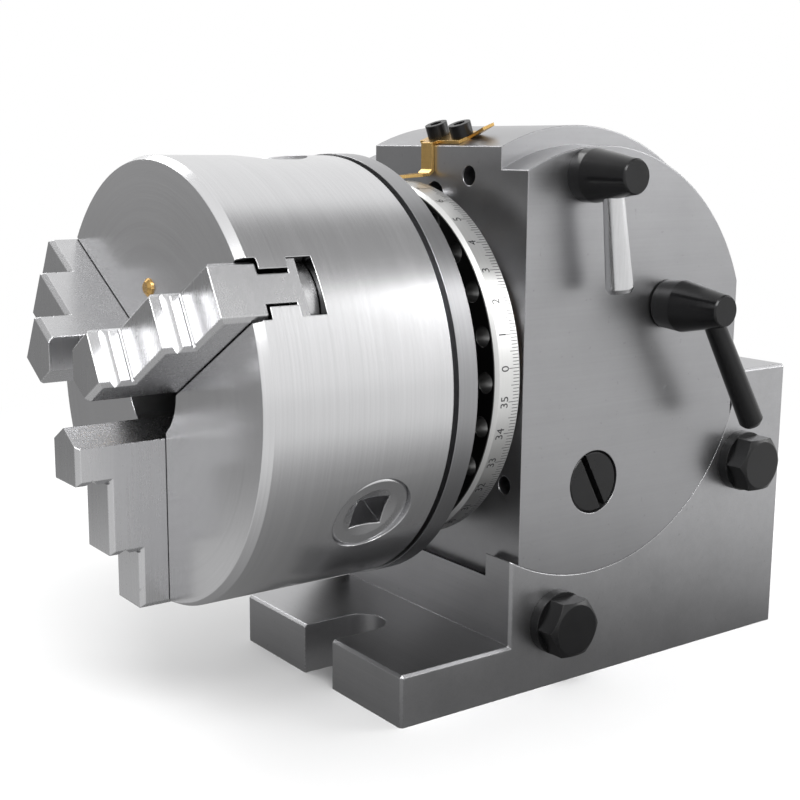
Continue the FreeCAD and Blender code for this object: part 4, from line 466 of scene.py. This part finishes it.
def hexagon_radii(flats, count):
    """Radii of a hexagon across flats, sampled evenly round the circle."""
    found = []
    for i in range(count):
        turn = (360.0 * i / count + 30.0) % 60.0 - 30.0
        found.append(flats / 2 / cos(radians(turn)))
    return found


def socket_screw(work, top, direction, head, screw):
    """A cap screw: knurled head with a bevelled rim, a hexagon socket with a drilled foot, and a shank.
    top is the middle of its head, and direction points down the shank."""
    count = screw.knurl * 4
    shank, height = screw.shank, screw.height
    end = height + screw.reach
    deep = height * 0.62                # the socket's depth
    wave = [0.0, screw.knurl_depth * 0.5, screw.knurl_depth, screw.knurl_depth * 0.5]
    smooth = [head] * count
    ribbed = [head - wave[i % 4] for i in range(count)]
    inner = hexagon_radii(screw.socket, count)
    rim = [radius + 0.18 * MM for radius in inner]

    def at(depth, radii):
        return ring(work, top + direction * depth, direction, radii)

    loops = [
        at(end, [shank * 0.7] * count),
        at(end - shank * 0.3, [shank] * count),
        at(height, [shank] * count),
        at(height, [head - 0.15 * MM] * count),
        at(height - 0.15 * MM, smooth),
        at(height - 0.35 * MM, smooth),
        at(height - 0.5 * MM, ribbed),
        at(0.75 * MM, ribbed),
        at(0.6 * MM, smooth),
        at(0.35 * MM, smooth),
        at(0.0, [head - 0.35 * MM] * count),
        at(0.0, rim),
        at(0.15 * MM, inner),
        at(deep, inner),
        at(deep, [screw.socket * 0.42] * count),
    ]
    work.faces.new(loops[0])
    for one, other in zip(loops, loops[1:]):
        bridge(work, one, other)
    foot = work.verts.new(top + direction * (deep + screw.socket * 0.2))
    last = loops[-1]
    for i in range(count):
        work.faces.new((last[i], last[(i + 1) % count], foot))


# ---- Operators -----------------------------------------------------------------------------------

class DIVIDINGHEAD_OT_castings(Operator):
    """Finishes the base, the swivel housing, the worm sleeve and the cover"""
    bl_idname = "dividing_head.castings"
    bl_label = "Castings"

    def execute(self, context):
        tones = sizes(context).finishes
        finish_nodes(ground("ground_base", tones.base, (0, 1, 0), 0.34, 0.08), "base")
        finish_nodes(ground("ground_housing", tones.casting, (1, 0, 0), 0.33, 0.07, 0.6), "housing")
        finish_nodes(turned("turned_cover", tones.bright, SPINDLE, "X", 0.27), "rear_cover")
        finish_nodes(turned("turned_sleeve", tones.casting, WORM, "Y", 0.3), "worm_sleeve")
        return {"FINISHED"}


class DIVIDINGHEAD_OT_gearing(Operator):
    """Finishes the spindle, the worm gear, the bushes and the lock inside the housing"""
    bl_idname = "dividing_head.gearing"
    bl_label = "Spindle and gearing"

    def execute(self, context):
        tones = sizes(context).finishes
        finish_nodes(turned("turned_spindle", tones.bright, SPINDLE, "X", 0.2), "spindle")
        finish_nodes(turned("turned_worm", tones.dark, WORM, "Y", 0.28), "worm")
        finish_nodes(coloured_metal("bronze_parts", tuple(tones.bronze), 0.34), "worm_wheel", "front_bush",
                     "rear_bush", "worm_bush", "thrust_washer")
        finish_nodes(ground("unpolished_steel", tones.dark, (1, 0, 0), 0.38), "wheel_key", "lock_cotters",
                     "clamp_shoes", "pinion_pins")
        return {"FINISHED"}


class DIVIDINGHEAD_OT_chuck(Operator):
    """Finishes the chuck body, its back plate, scroll, pinions, jaws and oil nipple"""
    bl_idname = "dividing_head.chuck"
    bl_label = "Chuck"

    def execute(self, context):
        tones = sizes(context).finishes
        # the chuck body gets painted shade on the walls of its jaw slots
        finish_nodes(turned("turned_chuck", tones.chuck, SPINDLE, "X", 0.24, 0.7, 0.06, slot_shade),
                     "chuck_body", "chuck_cover")
        # the back plate gets painted shade on its hub and rear face
        finish_nodes(turned("turned_back_plate", tones.casting, SPINDLE, "X", 0.3, 1.2, 0.1, plate_shade),
                     "chuck_back_plate")
        finish_nodes(turned("turned_scroll", tones.dark, SPINDLE, "X", 0.26), "scroll_plate")
        finish_nodes(ground("ground_jaws", tones.jaw, (0, 0, 1), 0.27, 0.06, 0.7, 0.22), "jaw_1", "jaw_2",
                     "jaw_3")
        finish_nodes(ground("ground_pinions", tones.bright, (0, 0, 1), 0.25, 0.06, 0.6), "chuck_pinion_1",
                     "chuck_pinion_2", "chuck_pinion_3")
        finish_nodes(coloured_metal("nipple_brass", tuple(tones.brass), 0.24), "oil_nipple")
        return {"FINISHED"}


class DIVIDINGHEAD_OT_fittings(Operator):
    """Finishes the levers, bolts, nuts, washers, pointer and the direct index pin"""
    bl_idname = "dividing_head.fittings"
    bl_label = "Levers and fasteners"

    def execute(self, context):
        tones = sizes(context).finishes
        black = tuple(tones.black)
        finish_nodes(blackened("black_levers", black, 0.22, 0.35), "index_lever_hub", "lock_lever_hub",
                     "lock_lever_handle")
        finish_nodes(blackened("black_bolts", black, 0.36, 0.5), "clamp_bolts", "clamp_washers",
                     "spindle_nut", "pointer_screws", "dial_screws")
        finish_nodes(blackened("black_plug", black, 0.3, 0.6), "worm_plug")
        finish_nodes(turned("bright_pin", tones.bright, INDEX_PIN, "X", 0.2), "index_pin")
        finish_nodes(ground("bright_handle", tones.bright, (0, 0, 1), 0.22, 0.08, 1.2), "index_lever_handle")
        finish_nodes(coloured_metal("pointer_brass", tuple(tones.brass), 0.3), "pointer")
        return {"FINISHED"}


class DIVIDINGHEAD_OT_dial(Operator):
    """Finishes the dial and adds its degree lines and numbers"""
    bl_idname = "dividing_head.dial"
    bl_label = "Dial graduation"

    def on_dial(self, radius, turn, x):
        return Vector((x, radius * cos(turn), SPINDLE.z + radius * sin(turn)))

    def line(self, work, radius, turn, start, end, width, depth):
        """A thin raised strip along the spindle."""
        half = width / 2 / radius
        low, high = radius - 0.05 * MM, radius + depth
        corners = {}
        for side, swing in enumerate((-half, half)):
            for level, reach in enumerate((low, high)):
                for end_index, x in enumerate((start, end)):
                    corners[side, level, end_index] = work.verts.new(self.on_dial(reach, turn + swing, x))
        work.faces.new([corners[0, 1, 0], corners[1, 1, 0], corners[1, 1, 1], corners[0, 1, 1]])
        work.faces.new([corners[0, 0, 0], corners[0, 1, 0], corners[0, 1, 1], corners[0, 0, 1]])
        work.faces.new([corners[1, 0, 0], corners[1, 1, 0], corners[1, 1, 1], corners[1, 0, 1]])
        work.faces.new([corners[0, 0, 0], corners[1, 0, 0], corners[1, 1, 0], corners[0, 1, 0]])
        work.faces.new([corners[0, 0, 1], corners[1, 0, 1], corners[1, 1, 1], corners[0, 1, 1]])

    def numeral(self, work, text, radius, turn, x, height, depth):
        """A number wrapped onto the dial, read along the rim with its top towards the chuck."""
        letters = bpy.data.curves.new("numeral", "FONT")
        letters.body = text
        letters.align_x = "CENTER"
        letters.align_y = "CENTER"
        letters.size = height / 0.72
        letters.resolution_u = 3
        shape = bpy.data.objects.new("numeral", letters)
        flat = bpy.data.meshes.new_from_object(shape)
        made = [work.verts.new(self.on_dial(radius + depth, turn + vertex.co.x / radius, x + vertex.co.y))
                for vertex in flat.vertices]
        for face in flat.polygons:
            work.faces.new([made[index] for index in face.vertices])
        bpy.data.objects.remove(shape)
        bpy.data.curves.remove(letters)
        bpy.data.meshes.remove(flat)

    def execute(self, context):
        held = sizes(context)
        dial = held.dial
        low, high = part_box("dial")
        radius = (high.z - low.z) / 2
        rear = low.x
        bevel = 0.2 * MM

        def build(work):
            for degree in range(360):
                reach = dial.ten if degree % 10 == 0 else dial.five if degree % 5 == 0 else dial.one
                turn = radians(degree + DIAL_ZERO)
                self.line(work, radius, turn, rear + bevel, rear + bevel + reach, dial.line, dial.depth)
            for number in range(36):
                self.numeral(work, str(number), radius, radians(DIAL_ZERO + 10 * number), dial.numeral_x,
                             dial.numeral, dial.depth)

        # the dial gets painted shade on its front face and the walls of its holes
        finish_nodes(turned("satin_dial", held.finishes.dial, SPINDLE, "X", 0.34, 0.7, 0.05, dial_shade),
                     "dial")
        add_piece("dial_graduation", mesh_from(build, "dial_graduation"),
                  painted("dial_paint", held.finishes.paint), "spindle")
        return {"FINISHED"}


class DIVIDINGHEAD_OT_index_plate(Operator):
    """Builds the index plate with its circles of holes, and finishes the crank and sector arms"""
    bl_idname = "dividing_head.index_plate"
    bl_label = "Index plate and crank"

    def circle(self, outline, centre, radius, points):
        spline = outline.splines.new("POLY")
        spline.points.add(points - 1)
        spline.use_cyclic_u = True
        for i, point in enumerate(spline.points):
            turn = 2 * pi * i / points
            point.co = (centre[0] + radius * cos(turn), centre[1] + radius * sin(turn), 0.0, 1.0)

    def holes(self, outline, pitch, count, start, radius, points):
        for i in range(count):
            turn = 2 * pi * i / count + start
            self.circle(outline, (pitch * cos(turn), pitch * sin(turn)), radius, points)

    def execute(self, context):
        held = sizes(context)
        plate = held.plate
        tones = held.finishes
        low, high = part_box("index_plate")
        reach = (high.x - low.x) / 2
        middle = Vector(((low.x + high.x) / 2, (low.y + high.y) / 2, (low.z + high.z) / 2))
        thickness = high.y - low.y

        outline = bpy.data.curves.new("index_plate_outline", "CURVE")
        outline.dimensions = "2D"
        outline.fill_mode = "BOTH"
        outline.extrude = thickness / 2 - plate.edge
        outline.bevel_depth = plate.edge
        outline.bevel_resolution = 1
        outline.offset = -plate.edge
        self.circle(outline, (0.0, 0.0), reach, 180)
        self.circle(outline, (0.0, 0.0), plate.bore, 72)
        self.holes(outline, plate.working_circle, plate.working_count, CRANK_ANGLE, plate.working_hole, 20)
        for row, count in enumerate(plate.counts):
            self.holes(outline, plate.first_circle + plate.circle_step * row, count, 0.0, plate.hole, 12)
        shape = bpy.data.objects.new("index_plate_outline", outline)
        mesh = bpy.data.meshes.new_from_object(shape)
        mesh.name = "drilled_plate"
        mesh.transform(Matrix.Translation(middle) @ Matrix.Rotation(radians(90), 4, "X"))
        mesh.materials.clear()
        bpy.data.objects.remove(shape)
        piece = add_piece("drilled_plate", mesh, turned("turned_plate", tones.bright, WORM, "Y", 0.26),
                          "head")
        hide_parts("index_plate")

        black = tuple(tones.black)
        finish_nodes(blackened("black_crank", black, 0.3, 0.5), "crank_arm", "crank_nut")
        finish_nodes(turned("bright_plunger", tones.bright, PLUNGER, "Y", 0.2),
                     "plunger_barrel", "plunger_nut", "plunger_pin")
        finish_nodes(moulded("black_knob", black), "plunger_knob")
        finish_nodes(ground("bright_sectors", tones.bright, (1, 0, 0), 0.24, 0.06), "sector_arm_lower",
                     "sector_arm_upper")
        return {"FINISHED"}


class DIVIDINGHEAD_OT_screws(Operator):
    """Builds the socket screws of the rear cover"""
    bl_idname = "dividing_head.screws"
    bl_label = "Socket screws"

    def execute(self, context):
        held = sizes(context)
        screw = held.screws
        block = blackened("black_screws", tuple(held.finishes.black), 0.32, 0.5)

        low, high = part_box("cover_screws")
        seats = [SPINDLE + Vector((low.x, screw.circle * cos(radians(a)), screw.circle * sin(radians(a))))
                 for a in (45, 135, 225, 315)]
        head = high.y - screw.circle * cos(radians(45))

        def build(work):
            for seat in seats:
                socket_screw(work, seat, Vector((1, 0, 0)), head, screw)

        piece = add_piece("cover_cap_screws", mesh_from(build, "cover_cap_screws"), block, "head")
        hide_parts("cover_screws")
        return {"FINISHED"}


class DIVIDINGHEAD_OT_stage(Operator):
    """Sets up the floor, the lamps, the background and the camera"""
    bl_idname = "dividing_head.stage"
    bl_label = "Stage"

    def lamp(self, name, place, aim, width, height, watts):
        light = bpy.data.lights.new(name, "AREA")
        light.shape = "RECTANGLE"
        light.size = width
        light.size_y = height
        light.energy = watts
        holder = bpy.data.objects.new(name, light)
        holder.location = place
        holder.rotation_euler = (Vector(aim) - Vector(place)).to_track_quat("-Z", "Y").to_euler()
        bpy.context.scene.collection.objects.link(holder)

    def floor(self, stage):
        def build(work):
            corners = [work.verts.new((x, y, 0.0)) for x, y in
                       ((-stage.floor, -stage.floor), (stage.floor, -stage.floor),
                        (stage.floor, stage.floor), (-stage.floor, stage.floor))]
            work.faces.new(corners)
        piece = bpy.data.objects.new("floor", mesh_from(build, "floor"))
        bpy.context.scene.collection.objects.link(piece)
        block, recipe = material("pale_floor")
        place = recipe.place()
        far = recipe.node("ShaderNodeVectorMath", {"operation": "LENGTH"}, {0: place}, "Value")
        seen = recipe.node("ShaderNodeLightPath", {}, {}, "Is Camera Ray")
        fade = recipe.fit(far, stage.pale, stage.pale * 2.2) * seen
        matt = recipe.node("ShaderNodeBsdfDiffuse", {}, {"Color": (0.86, 0.86, 0.86, 1.0)})
        white = recipe.node("ShaderNodeEmission", {}, {"Color": (1.0, 1.0, 1.0, 1.0), "Strength": 1.0})
        shown = recipe.node("ShaderNodeMixShader", {}, {0: fade, 1: matt, 2: white})
        # painted shadow and shade for reflections only: glossy rays see the floor glow, dark under the head
        # and darker towards the end wall patch
        under = recipe.fit(far, 0.05, 0.30, 0.16, 0.86)
        aside = recipe.fit(recipe.dot(place, END_WALL), 0.10, 0.42)
        painted_reflection = recipe.tone((1.0, 1.0, 1.0), under * (1.0 - aside * 0.66))
        glow = recipe.node("ShaderNodeEmission", {}, {"Color": painted_reflection, "Strength": 1.0})
        mirrored = recipe.node("ShaderNodeLightPath", {}, {}, "Is Glossy Ray")
        recipe.output(recipe.node("ShaderNodeMixShader", {}, {0: mirrored, 1: shown, 2: glow}))
        piece.data.materials.append(block)

    def background(self):
        """White for the camera. Reflections see it too, with painted dark patches that stand in for a
        studio's ceiling and end wall.
        """
        world = bpy.data.worlds.new("studio")
        bpy.context.scene.world = world
        recipe = Recipe(world)
        view = recipe.node("ShaderNodeTexCoord", {}, {}, "Generated")
        screen = recipe.fit(recipe.dot(view, CEILING), 0.90, 0.985)
        wall = recipe.fit(recipe.dot(view, END_WALL), 0.25, 0.95)
        # painted reflection: only glossy rays see the world darkened towards these two patches
        glow = 1.0 - screen * 0.66 - wall * 0.62
        path = [recipe.node("ShaderNodeLightPath", {}, {}, name) for name in
                ("Is Camera Ray", "Is Glossy Ray", "Is Transmission Ray")]
        seen = path[0]
        mirrored = path[1] + path[2]
        level = seen + (1.0 - seen) * (mirrored * glow + (1.0 - mirrored) * 0.8)
        colour = recipe.tone((1.0, 1.0, 1.0), level)
        recipe.output(recipe.node("ShaderNodeBackground", {}, {"Color": colour, "Strength": 1.0}),
                      "ShaderNodeOutputWorld")

    def camera(self, stage):
        lens = bpy.data.cameras.new("camera")
        lens.lens = stage.lens
        lens.sensor_width = 36.0
        lens.clip_start = 0.01
        lens.clip_end = 50.0
        holder = bpy.data.objects.new("camera", lens)
        turn = Matrix.Rotation(stage.azimuth, 4, "Z") @ Matrix.Rotation(pi / 2 - stage.elevation, 4, "X") \
            @ Matrix.Rotation(stage.roll, 4, "Z")
        holder.matrix_world = Matrix.Translation(Vector(stage.place)) @ turn
        bpy.context.scene.collection.objects.link(holder)
        bpy.context.scene.camera = holder

    def execute(self, context):
        stage = sizes(context).stage
        self.floor(stage)
        self.background()
        self.camera(stage)
        self.lamp("key", (0.45, 0.75, 0.95), (0.02, 0.0, 0.09), 0.7, 0.5, 9.0)
        self.lamp("fill", (-0.9, 0.55, 0.55), (0.0, 0.0, 0.08), 0.6, 0.6, 4.0)
        self.lamp("back", (0.2, -0.9, 0.9), (0.0, 0.0, 0.1), 0.8, 0.5, 5.0)
        settings = context.scene.view_settings
        settings.view_transform = "Standard"
        return {"FINISHED"}


class DividingHeadSizes(PropertyGroup):
    dial: PointerProperty(type=DialSizes, name="Dial", description="Lines and numbers of the dial")
    plate: PointerProperty(type=PlateSizes, name="Index plate", description="Circles of holes")
    screws: PointerProperty(type=ScrewSizes, name="Screws", description="Knurled screw heads")
    finishes: PointerProperty(type=Finishes, name="Finishes", description="Colours of the metals")
    stage: PointerProperty(type=StageSizes, name="Stage", description="Floor and camera")


OPERATORS = (
    DIVIDINGHEAD_OT_castings, DIVIDINGHEAD_OT_gearing, DIVIDINGHEAD_OT_chuck, DIVIDINGHEAD_OT_fittings,
    DIVIDINGHEAD_OT_dial, DIVIDINGHEAD_OT_index_plate, DIVIDINGHEAD_OT_screws, DIVIDINGHEAD_OT_stage,
)


class DIVIDINGHEAD_PT_panel(Panel):
    """Lists the steps that dress the dividing head"""
    bl_idname = "DIVIDINGHEAD_PT_panel"
    bl_label = "Dividing Head"
    bl_space_type = "VIEW_3D"
    bl_region_type = "UI"
    bl_category = "Dividing Head"

    def draw(self, context):
        layout = self.layout
        for operator in OPERATORS:
            layout.operator(operator.bl_idname)
        held = sizes(context)
        for group in (held.dial, held.plate, held.screws, held.finishes, held.stage):
            box = layout.box()
            for name in group.bl_rna.properties.keys():
                if name not in ("rna_type", "name"):
                    box.prop(group, name)


CLASSES = (DialSizes, PlateSizes, ScrewSizes, Finishes, StageSizes, DividingHeadSizes, *OPERATORS,
           DIVIDINGHEAD_PT_panel)


def register():
    for kind in CLASSES:
        bpy.utils.register_class(kind)
    bpy.types.Scene.dividing_head = PointerProperty(type=DividingHeadSizes)


def unregister():
    del bpy.types.Scene.dividing_head
    for kind in reversed(CLASSES):
        bpy.utils.unregister_class(kind)


def main():
    register()
    for operator in OPERATORS:
        step = getattr(bpy.ops.dividing_head, operator.bl_idname.split(".")[1])
        step()


if __name__ == "__main__":
    main()
